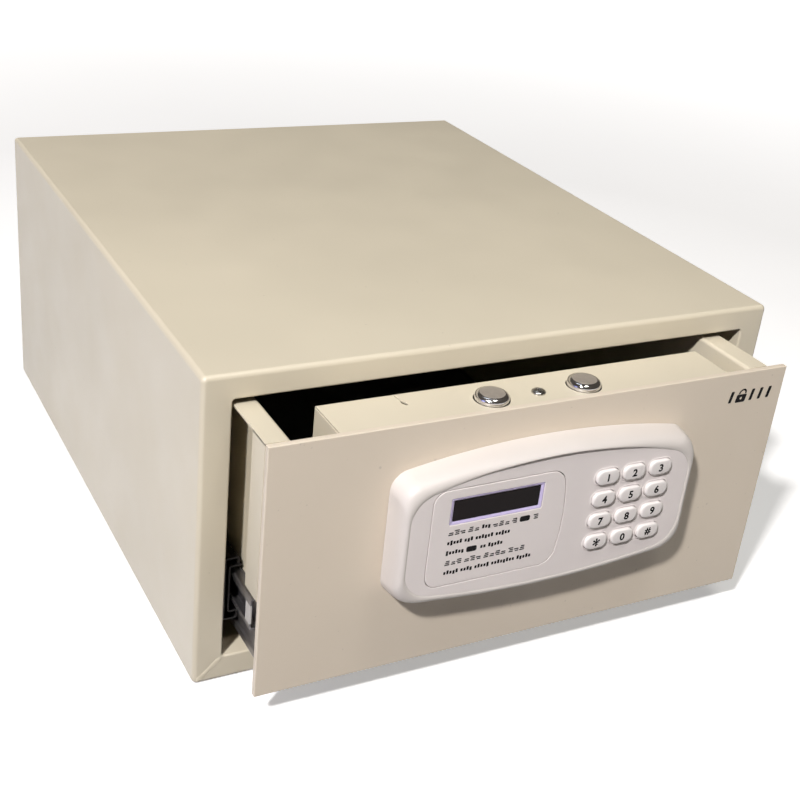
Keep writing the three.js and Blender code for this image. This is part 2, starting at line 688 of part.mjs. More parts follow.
// ---- keypad --------------------------------------------------------------------------
// Rounded oblong whose long sides bow outwards; inset moves the whole line inwards.
function bezelOutline(inset, cornerSteps = 4, bowSteps = 6) {
  const radius = BEZEL_CORNER - inset;
  const cornerX = BEZEL_HALF_WIDTH - BEZEL_CORNER;
  const bow = (bowRadius, facing) => {
    const centre = BEZEL_HALF_HEIGHT - bowRadius;
    const reach = bowRadius - BEZEL_CORNER;
    const cornerZ = centre + Math.sqrt(reach * reach - cornerX * cornerX);
    const tangent = Math.atan2(cornerZ - centre, cornerX);
    const points = [];
    for (let i = 0; i <= cornerSteps; i += 1) {
      const angle = tangent * i / cornerSteps;
      points.push([cornerX + radius * Math.cos(angle), cornerZ + radius * Math.sin(angle)]);
    }
    for (let i = 1; i < bowSteps; i += 1) {
      const angle = tangent + (Math.PI - 2 * tangent) * i / bowSteps;
      points.push([
        (bowRadius - inset) * Math.cos(angle), centre + (bowRadius - inset) * Math.sin(angle),
      ]);
    }
    for (let i = cornerSteps; i >= 0; i -= 1) {
      const angle = tangent * i / cornerSteps;
      points.push([-cornerX - radius * Math.cos(angle), cornerZ + radius * Math.sin(angle)]);
    }
    return points.map(([x, z]) => [facing * x, facing * z]);
  };
  return [...bow(BEZEL_TOP_RADIUS, 1), ...bow(BEZEL_BOTTOM_RADIUS, -1)];
}

function oval(halfWidth, halfHeight, steps = 3) {
  const radius = halfHeight - 0.4;
  const points = [];
  [[1, 1], [-1, 1], [-1, -1], [1, -1]].forEach(([right, up], quarter) => {
    for (let i = 0; i <= steps; i += 1) {
      const angle = (quarter + i / steps) * Math.PI / 2;
      points.push([
        right * (halfWidth - radius) + radius * Math.cos(angle),
        up * (halfHeight - radius) + radius * Math.sin(angle),
      ]);
    }
  });
  return points;
}

function keyPlaces() {
  return KEY_NAMES.map((name, i) => ({
    name: `key_${name}`,
    x: KEY_COLUMNS[i % 3],
    z: KEY_ROWS[Math.floor(i / 3)],
  }));
}

function shifted(points, x, z) {
  return points.map(([px, pz]) => [px + x, pz + z]);
}

// The printed insert is straight on the left and bows out on the right.
function insertOutline(inset) {
  const left = -85 + inset;
  const right = 3.5 - inset;
  const low = -32.6 + inset;
  const high = 33.6 - inset;
  const radius = 8 - inset;
  const bulge = 3.4;
  const shape = new THREE.Shape();
  shape.moveTo(left + radius, low);
  shape.lineTo(right - radius, low);
  shape.absarc(right - radius, low + radius, radius, -Math.PI / 2, 0, false);
  shape.quadraticCurveTo(right + 2 * bulge, (low + high) / 2, right, high - radius);
  shape.absarc(right - radius, high - radius, radius, 0, Math.PI / 2, false);
  shape.lineTo(left + radius, high);
  shape.absarc(left + radius, high - radius, radius, Math.PI / 2, Math.PI, false);
  shape.lineTo(left, low + radius);
  shape.absarc(left + radius, low + radius, radius, Math.PI, 1.5 * Math.PI, false);
  return shape;
}

function displayOpening(halfWidth, halfHeight, y0, y1) {
  return box(
    DISPLAY_X - halfWidth, DISPLAY_X + halfWidth, y0, y1,
    DISPLAY_Z - halfHeight, DISPLAY_Z + halfHeight,
  );
}

function bezel() {
  const outside = loftY([
    { y: -FIT_GAP, points: bezelOutline(0) },
    { y: -11, points: bezelOutline(1) },
    { y: -15.6, points: bezelOutline(2.4) },
    { y: -17.4, points: bezelOutline(4.2) },
    { y: -FIELD_DEPTH, points: bezelOutline(6.5) },
  ]);
  const inside = loftY([
    { y: 1, points: bezelOutline(2.4) },
    { y: -11, points: bezelOutline(3.4) },
    { y: -FIELD_DEPTH + FIELD_THICKNESS, points: bezelOutline(7) },
  ]);
  const keyHoles = keyPlaces().map(({ x, z }) => {
    const ring = shifted(oval(KEY_HALF_WIDTH + 0.35, KEY_HALF_HEIGHT + 0.35), x, z);
    return loftY([{ y: -10, points: ring }, { y: -FIELD_DEPTH - 1, points: ring }]);
  });
  const insertPocket = sweepY(insertOutline(0), -FIELD_DEPTH - 1, INSERT_POCKET - FIELD_DEPTH, 4);
  const window = displayOpening(...DISPLAY_WINDOW, -FIELD_DEPTH - 1, -10);
  return node('bezel', cut(outside, inside, insertPocket, window, ...keyHoles), WHITE_PLASTIC);
}

function labelInsert() {
  const plate = sweepY(insertOutline(FIT_GAP), -FIELD_DEPTH, INSERT_THICKNESS - FIELD_DEPTH, 4);
  const window = displayOpening(...DISPLAY_WINDOW, -FIELD_DEPTH - 1, -10);
  return node('label_insert', cut(plate, window), WHITE_PLASTIC);
}

function displayFrame() {
  return node('display_frame', cut(
    displayOpening(31.1, 8.7, -17.7, -15.7),
    displayOpening(29.3, 7.1, -19, -15),
  ), LILAC);
}

function displayLens() {
  return node('display_lens', displayOpening(29, 6.8, -17.2, -15.7), DARK_LENS);
}

function displayModule() {
  return node('display_module', displayOpening(32, 10, -15.4, -11.4), BLACK_PLASTIC);
}

function keypadMat() {
  return node('keypad_mat', box(23, 85.5, -12.8, -11.4, -31, 31), RUBBER);
}

function keypadBoard() {
  return node('keypad_board', box(-78, 88, -11.1, -9.5, -34, 34), BOARD_GREEN);
}

// A key is an oval cap on a wider collar that stays behind the bezel.
function key({ name, x, z }) {
  const ring = (y, grow) => ({
    y, points: oval(KEY_HALF_WIDTH + grow, KEY_HALF_HEIGHT + grow),
  });
  const cap = node(name, loftY([
    ring(-14.2, 0.6), ring(-15.2, 0.6), ring(-15.2, 0), ring(-KEY_FRONT + 0.8, 0),
    ring(-KEY_FRONT, -1.2),
  ]), WHITE_PLASTIC);
  cap.position.set(x, 0, z);
  return cap;
}

// Cable from the keypad board through the panel to the control board's connector.
function keypadCable() {
  const path = new THREE.CatmullRomCurve3([
    [58, -9, 118], [58, -2, 118], [58, 6, 118], [60, 13, 120], [65, 18, 126],
    [70, 21, 133], [74, 22, 135], [77.6, 22, 135],
  ].map((point) => new THREE.Vector3(...point)));
  const section = new THREE.Shape().absarc(0, 0, 2, 0, 2 * Math.PI, false);
  return node('keypad_cable', new THREE.ExtrudeGeometry(section, {
    steps: 14, extrudePath: path, bevelEnabled: false, curveSegments: 4,
  }), CABLE_RED);
}

// ---- assembly ------------------------------------------------------------------------
function inGroup(meshes, y = 0) {
  const group = new THREE.Group();
  group.add(...meshes);
  group.position.y = y;
  return group;
}

function keypad() {
  const group = inGroup([
    bezel(), labelInsert(), displayFrame(), displayLens(), displayModule(),
    keypadMat(), keypadBoard(), ...keyPlaces().map(key),
  ]);
  group.position.set(KEYPAD_X, 0, KEYPAD_Z);
  return group;
}

function caseBody() {
  return inGroup([
    caseShell(), backPanel(), strikePlate(),
    ...SIDES.map(slideBracket), ...SIDES.map(slideOuter),
    anchorPlug('anchor_plug_bottom_left', [-ANCHOR_X, BOTTOM_ANCHOR_Y, 0], 0),
    anchorPlug('anchor_plug_bottom_right', [ANCHOR_X, BOTTOM_ANCHOR_Y, 0], 0),
    anchorPlug('anchor_plug_back_left', [-ANCHOR_X, CASE_DEPTH, BACK_ANCHOR_Z], Math.PI / 2),
    anchorPlug('anchor_plug_back_right', [ANCHOR_X, CASE_DEPTH, BACK_ANCHOR_Z], Math.PI / 2),
  ]);
}

function drawerBody() {
  return inGroup([
    frontPanel(), drawerTray(), ...SIDES.map(drawerSide), drawerMat(),
    ...SIDES.map(slideInner),
    lockCover(), coverScrew(), boltGuide(), boltCarrier(), ...Object.keys(BOLT_CENTRES).map(bolt),
    motorBracket(), lockMotor(), motorPinion(),
    batteryHolder(), ...[0, 1, 2, 3].map(battery), batteryDoor(),
    controlBoard(), keypadCable(), keypad(),
  ], -DRAWER_OPEN);
}

// Each ball cage rolls half as far as the members that it runs between move apart.
const safe = new THREE.Group();
safe.add(
  caseBody(),
  drawerBody(),
  inGroup(SIDES.map(slideMiddle), -DRAWER_OPEN / 2),
  inGroup(SIDES.map(outerBallCage), -DRAWER_OPEN / 4),
  inGroup(SIDES.map(innerBallCage), -DRAWER_OPEN * 3 / 4),
);

// The origin is the middle of the floor under the whole object, keys to back panel.
safe.position.y = -(CASE_DEPTH - DRAWER_OPEN - KEY_FRONT) / 2;

export default safe;
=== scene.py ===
"""The looks of a drawer-type in-room safe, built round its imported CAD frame."""

import json
from math import atan2, copysign, cos, exp, hypot, pi, radians, sin, sqrt, tan

import bmesh
import bpy
from mathutils import Matrix, Vector


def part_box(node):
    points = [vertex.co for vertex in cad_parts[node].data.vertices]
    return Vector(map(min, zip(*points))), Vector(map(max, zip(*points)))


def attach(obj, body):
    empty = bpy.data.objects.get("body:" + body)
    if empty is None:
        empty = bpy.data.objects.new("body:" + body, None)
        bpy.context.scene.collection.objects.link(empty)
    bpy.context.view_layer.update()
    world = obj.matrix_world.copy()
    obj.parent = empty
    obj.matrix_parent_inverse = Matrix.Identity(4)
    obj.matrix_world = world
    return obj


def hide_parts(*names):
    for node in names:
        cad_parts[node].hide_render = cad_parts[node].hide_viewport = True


MM = 0.001
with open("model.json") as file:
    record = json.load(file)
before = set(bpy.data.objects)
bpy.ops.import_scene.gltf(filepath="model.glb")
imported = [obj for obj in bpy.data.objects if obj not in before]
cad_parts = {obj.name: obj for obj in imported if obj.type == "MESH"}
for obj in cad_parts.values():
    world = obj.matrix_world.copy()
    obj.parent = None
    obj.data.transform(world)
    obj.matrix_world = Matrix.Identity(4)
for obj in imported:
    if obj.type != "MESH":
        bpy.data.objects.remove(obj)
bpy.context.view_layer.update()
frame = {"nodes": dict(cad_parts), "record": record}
scene = bpy.context.scene


# ---- camera, light and floor ----
CAMERA_PLACE = Vector((-0.4183, -0.7859, 0.5270))
CAMERA_AZIMUTH = radians(29.88)
CAMERA_TILT = radians(26.9)
CAMERA_ROLL = radians(6.19)
CAMERA_LENS = 58.6


def add_camera():
    turn = Matrix.Rotation(-CAMERA_AZIMUTH, 4, "Z") @ Matrix.Rotation(pi / 2 - CAMERA_TILT, 4, "X")
    turn @= Matrix.Rotation(CAMERA_ROLL, 4, "Z")
    data = bpy.data.cameras.new("camera")
    data.lens = CAMERA_LENS
    data.clip_start = 0.01
    camera = bpy.data.objects.new("camera", data)
    camera.matrix_world = Matrix.Translation(CAMERA_PLACE) @ turn
    scene.collection.objects.link(camera)
    scene.camera = camera


def add_area_light(name, place, aim, size, power, colour):
    data = bpy.data.lights.new(name, "AREA")
    data.shape, data.size, data.energy, data.color = "DISK", size, power, colour
    light = bpy.data.objects.new(name, data)
    light.location = place
    light.rotation_euler = (Vector(aim) - Vector(place)).to_track_quat("-Z", "Y").to_euler()
    scene.collection.objects.link(light)


# name, place, aim, size, power, colour
LIGHTS = (
    ("key", (-1.84, -1.61, 2.33), (0.0, -0.2, 0.12), 0.22, 116.0, (0.99, 0.965, 0.955)),
    ("above", (0.1, -0.6, 1.4), (0.0, -0.2, 0.2), 0.3, 4.2, (1.0, 0.985, 0.92)),
    ("rear", (0.0, 0.35, 1.7), (0.0, 0.0, 0.2), 0.5, 1.2, (0.85, 0.92, 1.0)),
    ("left", (-1.3, -0.3, 0.4), (-0.2, 0.0, 0.1), 0.6, 1.1, (0.42, 0.46, 1.0)),
)
WORLD_STRENGTH = 0.085


def add_studio():
    scene.view_settings.view_transform = "Standard"
    world = bpy.data.worlds.new("studio")
    world.use_nodes = True
    background = world.node_tree.nodes["Background"]
    background.inputs["Color"].default_value = (1.0, 0.88, 0.75, 1)
    background.inputs["Strength"].default_value = WORLD_STRENGTH
    scene.world = world
    for light in LIGHTS:
        add_area_light(*light)
    add_floor()


# radius and height of the rings of the floor, and of the backdrop that it rises into
FLOOR_RINGS = ((0.001, 0.0), (1.5, 0.0), (3.0, 0.0))
BACKDROP_RINGS = ((3.0, 0.0), (4.2, 0.06), (5.0, 0.35), (5.6, 1.1), (5.9, 2.4), (6.0, 7.0))
FLOOR_SIDES = 96


def add_floor():
    material = floor_finish("floor")
    for name, rings in (("floor", FLOOR_RINGS), ("backdrop", BACKDROP_RINGS)):
        rings = [[(x, y, z) for x, y in circle(0, 0, radius, FLOOR_SIDES)] for radius, z in rings]
        sheet = loft(name, rings, smooth_angle=60, capped=False)
        sheet.data.materials.append(material)
        sheet.visible_diffuse = False
        sheet.visible_shadow = False
        sheet.visible_glossy = name == "floor"


# ---- materials ----
class Finish:
    """A material with one Principled shader; surface coordinates are the piece's own."""

    def __init__(self, name, colour, roughness, metallic=0.0):
        self.material = bpy.data.materials.new(name)
        self.material.use_nodes = True
        self.tree = self.material.node_tree
        self.shader = self.tree.nodes["Principled BSDF"]
        self.colour = colour
        self.set(self.shader, {"Metallic": metallic, "Roughness": roughness})
        self.surface = self.add("TexCoord", {}).outputs["Object"]

    def set(self, node, values):
        for socket, value in values.items():
            node.inputs[socket].default_value = value

    def add(self, kind, values):
        node = self.tree.nodes.new(f"ShaderNode{kind}")
        self.set(node, values)
        return node

    def link(self, output, socket):
        self.tree.links.new(output, socket)

    def noise(self, scale, detail=2.0, stretch=None):
        surface = self.surface
        if stretch:
            mapping = self.add("Mapping", {"Scale": stretch})
            self.link(surface, mapping.inputs["Vector"])
            surface = mapping.outputs["Vector"]
        node = self.add("TexNoise", {"Scale": scale, "Detail": detail})
        self.link(surface, node.inputs["Vector"])
        return node.outputs["Fac"]

    def ramp(self, factor, *stops):
        node = self.add("ValToRGB", {})
        for element, (position, colour) in zip(node.color_ramp.elements, stops):
            element.position = position
            element.color = (*colour, 1)
        self.link(factor, node.inputs["Fac"])
        return node.outputs["Color"]

    def tones(self, factor, low, high):
        """The finish's colour, lighter and darker as a noise goes."""
        return self.ramp(factor, (0.3, shade(self.colour, low)), (0.7, shade(self.colour, high)))

    def spread(self, factor, low, high, start=0.3, end=0.7):
        node = self.add(
            "MapRange", {"From Min": start, "From Max": end, "To Min": low, "To Max": high}
        )
        self.link(factor, node.inputs["Value"])
        return node.outputs["Result"]

    def bump(self, height, strength, distance):
        node = self.add("Bump", {"Strength": strength, "Distance": distance})
        self.link(height, node.inputs["Height"])
        self.link(node.outputs["Normal"], self.shader.inputs["Normal"])

    def done(self, colour, roughness=None):
        self.link(colour, self.shader.inputs["Base Color"])
        if roughness is not None:
            self.link(roughness, self.shader.inputs["Roughness"])
        return self.material


def shade(colour, amount):
    return tuple(min(1.0, channel * amount) for channel in colour)


def paint(name, colour, roughness=0.36):
    """Powder coat: faint clouding, orange peel and a few dust specks."""
    finish = Finish(name, colour, roughness)
    finish.set(
        finish.shader, {"Specular IOR Level": 0.5, "Coat Weight": 0.2, "Coat Roughness": 0.22}
    )
    tone = finish.tones(finish.noise(6, 3), 0.965, 1.03)
    specks = finish.ramp(finish.noise(300, 1), (0.76, (0, 0, 0)), (0.82, (1, 1, 1)))
    mix = finish.tree.nodes.new("ShaderNodeMix")
    mix.data_type = "RGBA"
    finish.link(specks, mix.inputs["Factor"])
    first, second = [socket for socket in mix.inputs if socket.type == "RGBA"]
    finish.link(tone, first)
    second.default_value = (*shade(colour, 0.84), 1)
    tone = next(socket for socket in mix.outputs if socket.type == "RGBA")
    finish.bump(finish.noise(650, 2), 0.2, 0.00005)
    return finish.done(tone, finish.spread(finish.noise(22, 3), roughness - 0.05, roughness + 0.07))


def plastic(name, colour, roughness, texture=0.12):
    """Moulded plastic: very fine texture, a little unevenness in gloss and tone."""
    finish = Finish(name, colour, roughness)
    finish.set(finish.shader, {"Subsurface Weight": 0.04, "Subsurface Radius": (0.002,) * 3})
    tone = finish.tones(finish.noise(16, 2), 0.975, 1.02)
    finish.bump(finish.noise(2600, 2), texture, 0.00004)
    return finish.done(tone, finish.spread(finish.noise(60, 2), roughness - 0.04, roughness + 0.06))


def metal(name, colour, roughness, stretch, grain=0.15):
    """Bare or plated metal with grain drawn out along one direction."""
    finish = Finish(name, colour, roughness, 1.0)
    lines = finish.noise(900, 3, stretch)
    finish.bump(lines, grain, 0.00004)
    gloss = finish.spread(lines, roughness - 0.08, roughness + 0.12)
    return finish.done(finish.tones(finish.noise(34, 4), 0.82, 1.08), gloss)


def chrome(name):
    finish = Finish(name, (0.78, 0.77, 0.79), 0.1, 1.0)
    smudges = finish.noise(90, 4)
    tone = finish.ramp(smudges, (0.3, (0.6, 0.59, 0.61)), (0.65, (0.84, 0.83, 0.85)))
    finish.bump(finish.noise(500, 2), 0.03, 0.00003)
    return finish.done(tone, finish.spread(smudges, 0.07, 0.2))


def grain_and_painted_reflection(name):
    """The flat end of a chromed bolt: fine grain, and a grey-beige painted reflection of the room,
    as a part-diffuse colour.
    """
    finish = Finish(name, (0.46, 0.41, 0.36), 0.38, 0.45)
    grain = finish.noise(420, 3)
    tone = finish.ramp(grain, (0.3, (0.42, 0.375, 0.33)), (0.7, (0.49, 0.44, 0.385)))
    finish.bump(grain, 0.05, 0.00003)
    return finish.done(tone, finish.spread(grain, 0.32, 0.46))


def felt(name):
    finish = Finish(name, (0.012, 0.012, 0.014), 0.95)
    finish.set(finish.shader, {"Sheen Weight": 0.3, "Sheen Roughness": 0.6})
    fibres = finish.noise(1500, 4, (1.0, 0.35, 1.0))
    finish.bump(fibres, 0.6, 0.0004)
    return finish.done(finish.tones(fibres, 0.6, 2.2))


def lens(name):
    finish = Finish(name, (0.003, 0.0006, 0.0008), 0.14)
    finish.set(finish.shader, {"Specular IOR Level": 0.1})
    tone = finish.tones(finish.noise(45, 2), 1.0, 1.7)
    return finish.done(tone, finish.spread(finish.noise(140, 3), 0.1, 0.2))


def ink(name):
    finish = Finish(name, (0.004, 0.0035, 0.004), 0.7)
    finish.set(finish.shader, {"Specular IOR Level": 0.12})
    return finish.done(finish.tones(finish.noise(500, 2), 1.0, 1.8))


def board(name):
    finish = Finish(name, (0.02, 0.13, 0.06), 0.35)
    tracks = finish.noise(240, 1, (1.0, 1.0, 0.3))
    finish.bump(tracks, 0.2, 0.0001)
    return finish.done(finish.ramp(tracks, (0.48, (0.02, 0.12, 0.05)), (0.52, (0.04, 0.2, 0.09))))


def floor_finish(name):
    """Pale and matt; it glows more with distance, so that it ends in white."""
    finish = Finish(name, (0.9, 0.9, 0.9), 0.7)
    finish.set(finish.shader, {"Specular IOR Level": 0.2, "Emission Color": (1.0, 1.0, 1.0, 1)})
    distance = finish.add("VectorMath", {})
    distance.operation = "LENGTH"
    finish.link(finish.surface, distance.inputs[0])
    glow = finish.spread(distance.outputs["Value"], 0.36, 1.0, 0.9, 2.2)
    finish.link(glow, finish.shader.inputs["Emission Strength"])
    return finish.done(
        finish.ramp(finish.noise(3, 3), (0.3, (0.89, 0.89, 0.89)), (0.7, (0.92, 0.92, 0.92)))
    )


CREAM = (0.70, 0.635, 0.50)
BEIGE = (0.735, 0.645, 0.53)
# name, maker and what the maker needs: colour, roughness and grain
FINISHES = {name: maker(name, *rest) for name, maker, *rest in (
    ("case_paint", paint, CREAM),
    ("panel_paint", paint, BEIGE),
    ("weld_paint", paint, shade(CREAM, 1.16), 0.46),
    ("zinc_sheet", metal, (0.60, 0.595, 0.61), 0.3, (1, 0.04, 1)),
    ("slide_steel", metal, (0.36, 0.35, 0.36), 0.4, (1, 0.04, 1)),
    # near-black painted shade for the outer and middle slide members, which lie in the case's
    # shadow
    ("slide_shade", metal, (0.045, 0.043, 0.042), 0.55, (1, 0.04, 1)),
    # pale diffuse finish on the zinc tab: painted light that keeps it bright in shade
    ("slide_tab", plastic, (0.6, 0.585, 0.56), 0.35),
    ("dark_steel", metal, (0.25, 0.24, 0.27), 0.42, (1, 0.05, 1)),
    ("zinc_screw", metal, (0.55, 0.54, 0.52), 0.24, (1, 1, 1), 0.08),
    ("ball_cage", metal, (0.62, 0.46, 0.19), 0.3, (1, 0.1, 1)),
    ("steel_ball", metal, (0.72, 0.72, 0.74), 0.12, (1, 1, 1), 0.02),
    ("bolt_chrome", chrome),
    # the bolt faces' grey-beige is a painted reflection of the room in the chrome
    ("bolt_satin", grain_and_painted_reflection),
    ("black_plastic", plastic, (0.022, 0.022, 0.024), 0.45, 0.3),
    ("felt_mat", felt),
    ("battery_skin", plastic, (0.03, 0.13, 0.27), 0.25, 0.05),
    ("circuit_board", board),
    ("cable_sheath", plastic, (0.2, 0.02, 0.02), 0.5),
    ("bezel_plastic", plastic, (0.71, 0.665, 0.635), 0.42),
    ("insert_plastic", plastic, (0.86, 0.80, 0.79), 0.42),
    ("frame_plastic", plastic, (0.60, 0.53, 0.80), 0.35),
    ("display_lens", lens),
    ("silicone", plastic, (0.28, 0.28, 0.29), 0.7, 0.4),
    ("key_plastic", plastic, (0.86, 0.82, 0.81), 0.33),
    ("ink", ink),
)}


# ---- mesh helpers ----
def add_object(name, mesh, smooth_angle=35):
    edit = bmesh.new()
    edit.from_mesh(mesh)
    bmesh.ops.remove_doubles(edit, verts=edit.verts, dist=1e-6)
    bmesh.ops.recalc_face_normals(edit, faces=edit.faces)
    edit.to_mesh(mesh)
    edit.free()
    mesh.shade_smooth()
    mesh.set_sharp_from_angle(angle=radians(smooth_angle))
    obj = bpy.data.objects.new(name, mesh)
    scene.collection.objects.link(obj)
    weigh_normals(obj)
    return obj


def weigh_normals(obj):
    """Large flat faces keep flat shading where they meet a bend."""
    modifier = obj.modifiers.new("weighted_normals", "WEIGHTED_NORMAL")
    modifier.mode = "FACE_AREA"
    modifier.weight = 50
    modifier.keep_sharp = True


def add_piece(obj, body, slot, *nodes, finish=None):
    """Gives a piece its finish, and lets it ride on its body in place of the CAD nodes."""
    obj.data.materials.clear()
    obj.data.materials.append(FINISHES[finish or slot])
    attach(obj, body)
    if nodes:
        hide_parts(*nodes)


def loft(name, rings, closed=False, smooth_angle=35, capped=True):
    """A skin over rings of equally many points, closed on itself, capped or open."""
    count = len(rings[0])
    vertices = [point for ring in rings for point in ring]
    faces = []
    for i in range(len(rings) if closed else len(rings) - 1):
        low, high = i * count, (i + 1) % len(rings) * count
        for j in range(count):
            k = (j + 1) % count
            faces.append((low + j, low + k, high + k, high + j))
    if capped and not closed:
        faces.append(tuple(reversed(range(count))))
        faces.append(tuple(range((len(rings) - 1) * count, len(rings) * count)))
    mesh = bpy.data.meshes.new(name)
    mesh.from_pydata(vertices, [], faces)
    return add_object(name, mesh, smooth_angle)


def turned(name, profile, place, segments=64, smooth_angle=35, closed=False):
    """A body of revolution; profile is (radius, height), place maps (x, y, height)."""
    rings = [
        [place(a, b, height) for a, b in circle(0, 0, radius, segments)]
        for radius, height in profile
    ]
    return loft(name, rings, closed, smooth_angle)


def upright(centre):
    """Places a turned body with its axis upright through a point."""
    return lambda a, b, height: Vector((centre.x + a, centre.y + b, height))


def folded(corners, thickness, radius, steps=6):
    """Outline of a sheet folded along a line of corners, with rounded bends."""
    points = [Vector(corner) for corner in corners]
    middle = [(points[0], side_of(points[0], points[1]))]
    for before, corner, after in zip(points, points[1:], points[2:]):
        into = (corner - before).normalized()
        normal = side_of(before, corner)
        angle = into.angle_signed((after - corner).normalized()) * -1
        reach = radius * tan(abs(angle) / 2)
        facing = copysign(1, angle)
        centre = corner - into * reach + normal * facing * radius
        for i in range(steps + 1):
            turn = Matrix.Rotation(angle * i / steps, 2)
            outwards = turn @ normal
            middle.append((centre - outwards * facing * radius, outwards))
    middle.append((points[-1], side_of(points[-2], points[-1])))
    left = [point + normal * thickness / 2 for point, normal in middle]
    right = [point - normal * thickness / 2 for point, normal in middle]
    return left + right[::-1]


def side_of(start, end):
    along = (end - start).normalized()
    return Vector((-along.y, along.x))


def bevelled(obj, width, segments=2, angle=40):
    modifier = obj.modifiers.new("bevel", "BEVEL")
    modifier.width = width
    modifier.segments = segments
    modifier.limit_method = "ANGLE"
    modifier.angle_limit = radians(angle)
    modifier.harden_normals = True
    return obj


def along_y(a, b, y):
    return Vector((a, y, b))


def along_x(a, b, x):
    return Vector((x, a, b))


def swept(name, outline, start, end, place=along_y, edge=0.00015):
    """An outline carried straight from start to end; place maps (a, b, distance)."""
    rings = [[place(a, b, distance) for a, b in outline] for distance in (start, end)]
    return bevelled(loft(name, rings), edge, 2, 50)


def evaluated_mesh(obj):
    depsgraph = bpy.context.evaluated_depsgraph_get()
    return bpy.data.meshes.new_from_object(obj.evaluated_get(depsgraph))


def mesh_of_curve(curve):
    holder = bpy.data.objects.new("curve_holder", curve)
    scene.collection.objects.link(holder)
    mesh = evaluated_mesh(holder)
    bpy.data.objects.remove(holder)
    return mesh


def plate(name, outlines, thickness, edge, place, resolution=2):
    """A flat plate with holes and rounded edges; place maps its middle plane and normal."""
    curve = bpy.data.curves.new(name, "CURVE")
    curve.dimensions = "2D"
    curve.fill_mode = "BOTH"
    curve.extrude = thickness / 2 - edge
    curve.bevel_depth = edge
    curve.bevel_resolution = resolution
    curve.offset = -edge
    for outline in outlines:
        spline = curve.splines.new("POLY")
        spline.points.add(len(outline) - 1)
        for point, (a, b) in zip(spline.points, outline):
            point.co = (a, b, 0, 1)
        spline.use_cyclic_u = True
    mesh = mesh_of_curve(curve)
    mesh.transform(place)
    return add_object(name, mesh)


def facing_front(y):
    """Places a plate's outline in X and Z, with its middle plane at y, facing -Y."""
    return Matrix(((1, 0, 0, 0), (0, 0, -1, y), (0, 1, 0, 0), (0, 0, 0, 1)))


def facing_up(z):
    return Matrix.Translation((0, 0, z))


def rounded_rectangle(x0, x1, z0, z1, radius, steps=6):
    points = []
    corners = ((x1, z0, -90, -1, 1), (x1, z1, 0, -1, -1), (x0, z1, 90, 1, -1), (x0, z0, 180, 1, 1))
    for x, z, start, inwards_x, inwards_z in corners:
        for i in range(steps + 1):
            angle = radians(start + 90 * i / steps)
            points.append((
                x + inwards_x * radius + radius * cos(angle),
                z + inwards_z * radius + radius * sin(angle),
            ))
    return points


def outline_of(low, high, grow, radius, steps):
    """Rounded outline of a box seen from the front, grown by a margin."""
    return rounded_rectangle(
        low.x - grow, high.x + grow, low.z - grow, high.z + grow, radius, steps
    )


def circle(x, y, radius, segments=48):
    turns = (2 * pi * i / segments for i in range(segments))
    return [(x + radius * cos(turn), y + radius * sin(turn)) for turn in turns]


def quarter_turn(steps):
    return [pi / 2 * i / steps for i in range(steps + 1)]


def box_of(node):
    low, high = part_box(node)
    return Vector(low), Vector(high)


def middle_of(node):
    low, high = box_of(node)
    return (low + high) / 2


SIDES = (("left", -1), ("right", 1))


# ---- case ----
SHEET = 2.0 * MM
SIDE_BORDER = 18.5 * MM
BOTTOM_BORDER = 17.5 * MM
TOP_BORDER = 16.0 * MM
RETURN_DEPTH = 17.0 * MM
case_low, case_high = box_of("case_shell")
opening_low = Vector((case_low.x + SIDE_BORDER, 0, case_low.z + BOTTOM_BORDER))
opening_high = Vector((case_high.x - SIDE_BORDER, 0, case_high.z - TOP_BORDER))


def case_ring(y, inset, radius):
    return [along_y(x, z, y) for x, z in outline_of(case_low, case_high, -inset, radius, 8)]


def opening_ring(y, outset, radius):
    outline = outline_of(opening_low, opening_high, outset, radius, 8)
    return [along_y(x, z, y) for x, z in outline]


def build_case_shell():
    """One folded sheet: return flange, front border, bend, walls, then back along the inside."""
    front = case_low.y
    opening_corner = 2.0 * MM
    lip_bend = 1.4 * MM
    wall_bend = 3.0 * MM
    rings = [opening_ring(front + RETURN_DEPTH, 0, opening_corner)]
    for angle in quarter_turn(5):
        outset = lip_bend * (1 - cos(angle))
        y = front + lip_bend * (1 - sin(angle))
        rings.append(opening_ring(y, outset, opening_corner + outset))
    for angle in quarter_turn(5):
        inset = wall_bend * (1 - sin(angle))
        y = front + wall_bend * (1 - cos(angle))
        rings.append(case_ring(y, inset, wall_bend - inset + 0.6 * MM))
    rings += [
        case_ring(case_high.y - 0.3 * MM, 0, wall_bend),
        case_ring(case_high.y, 0.3 * MM, wall_bend),
        case_ring(case_high.y, SHEET, 1.0 * MM),
        case_ring(front + SHEET, SHEET, 1.0 * MM),
        opening_ring(front + SHEET, SHEET, opening_corner + SHEET),
        opening_ring(front + RETURN_DEPTH, SHEET, opening_corner + SHEET),
    ]
    for ring in (rings[0], rings[-1]):
        for point in ring:
            if point.z > opening_high.z - 1 * MM:
                point.y = front + SHEET + 0.1 * MM
    shell = loft("case_shell_sheet", rings, closed=True)
    add_piece(shell, "case", "case_paint", "case_shell")


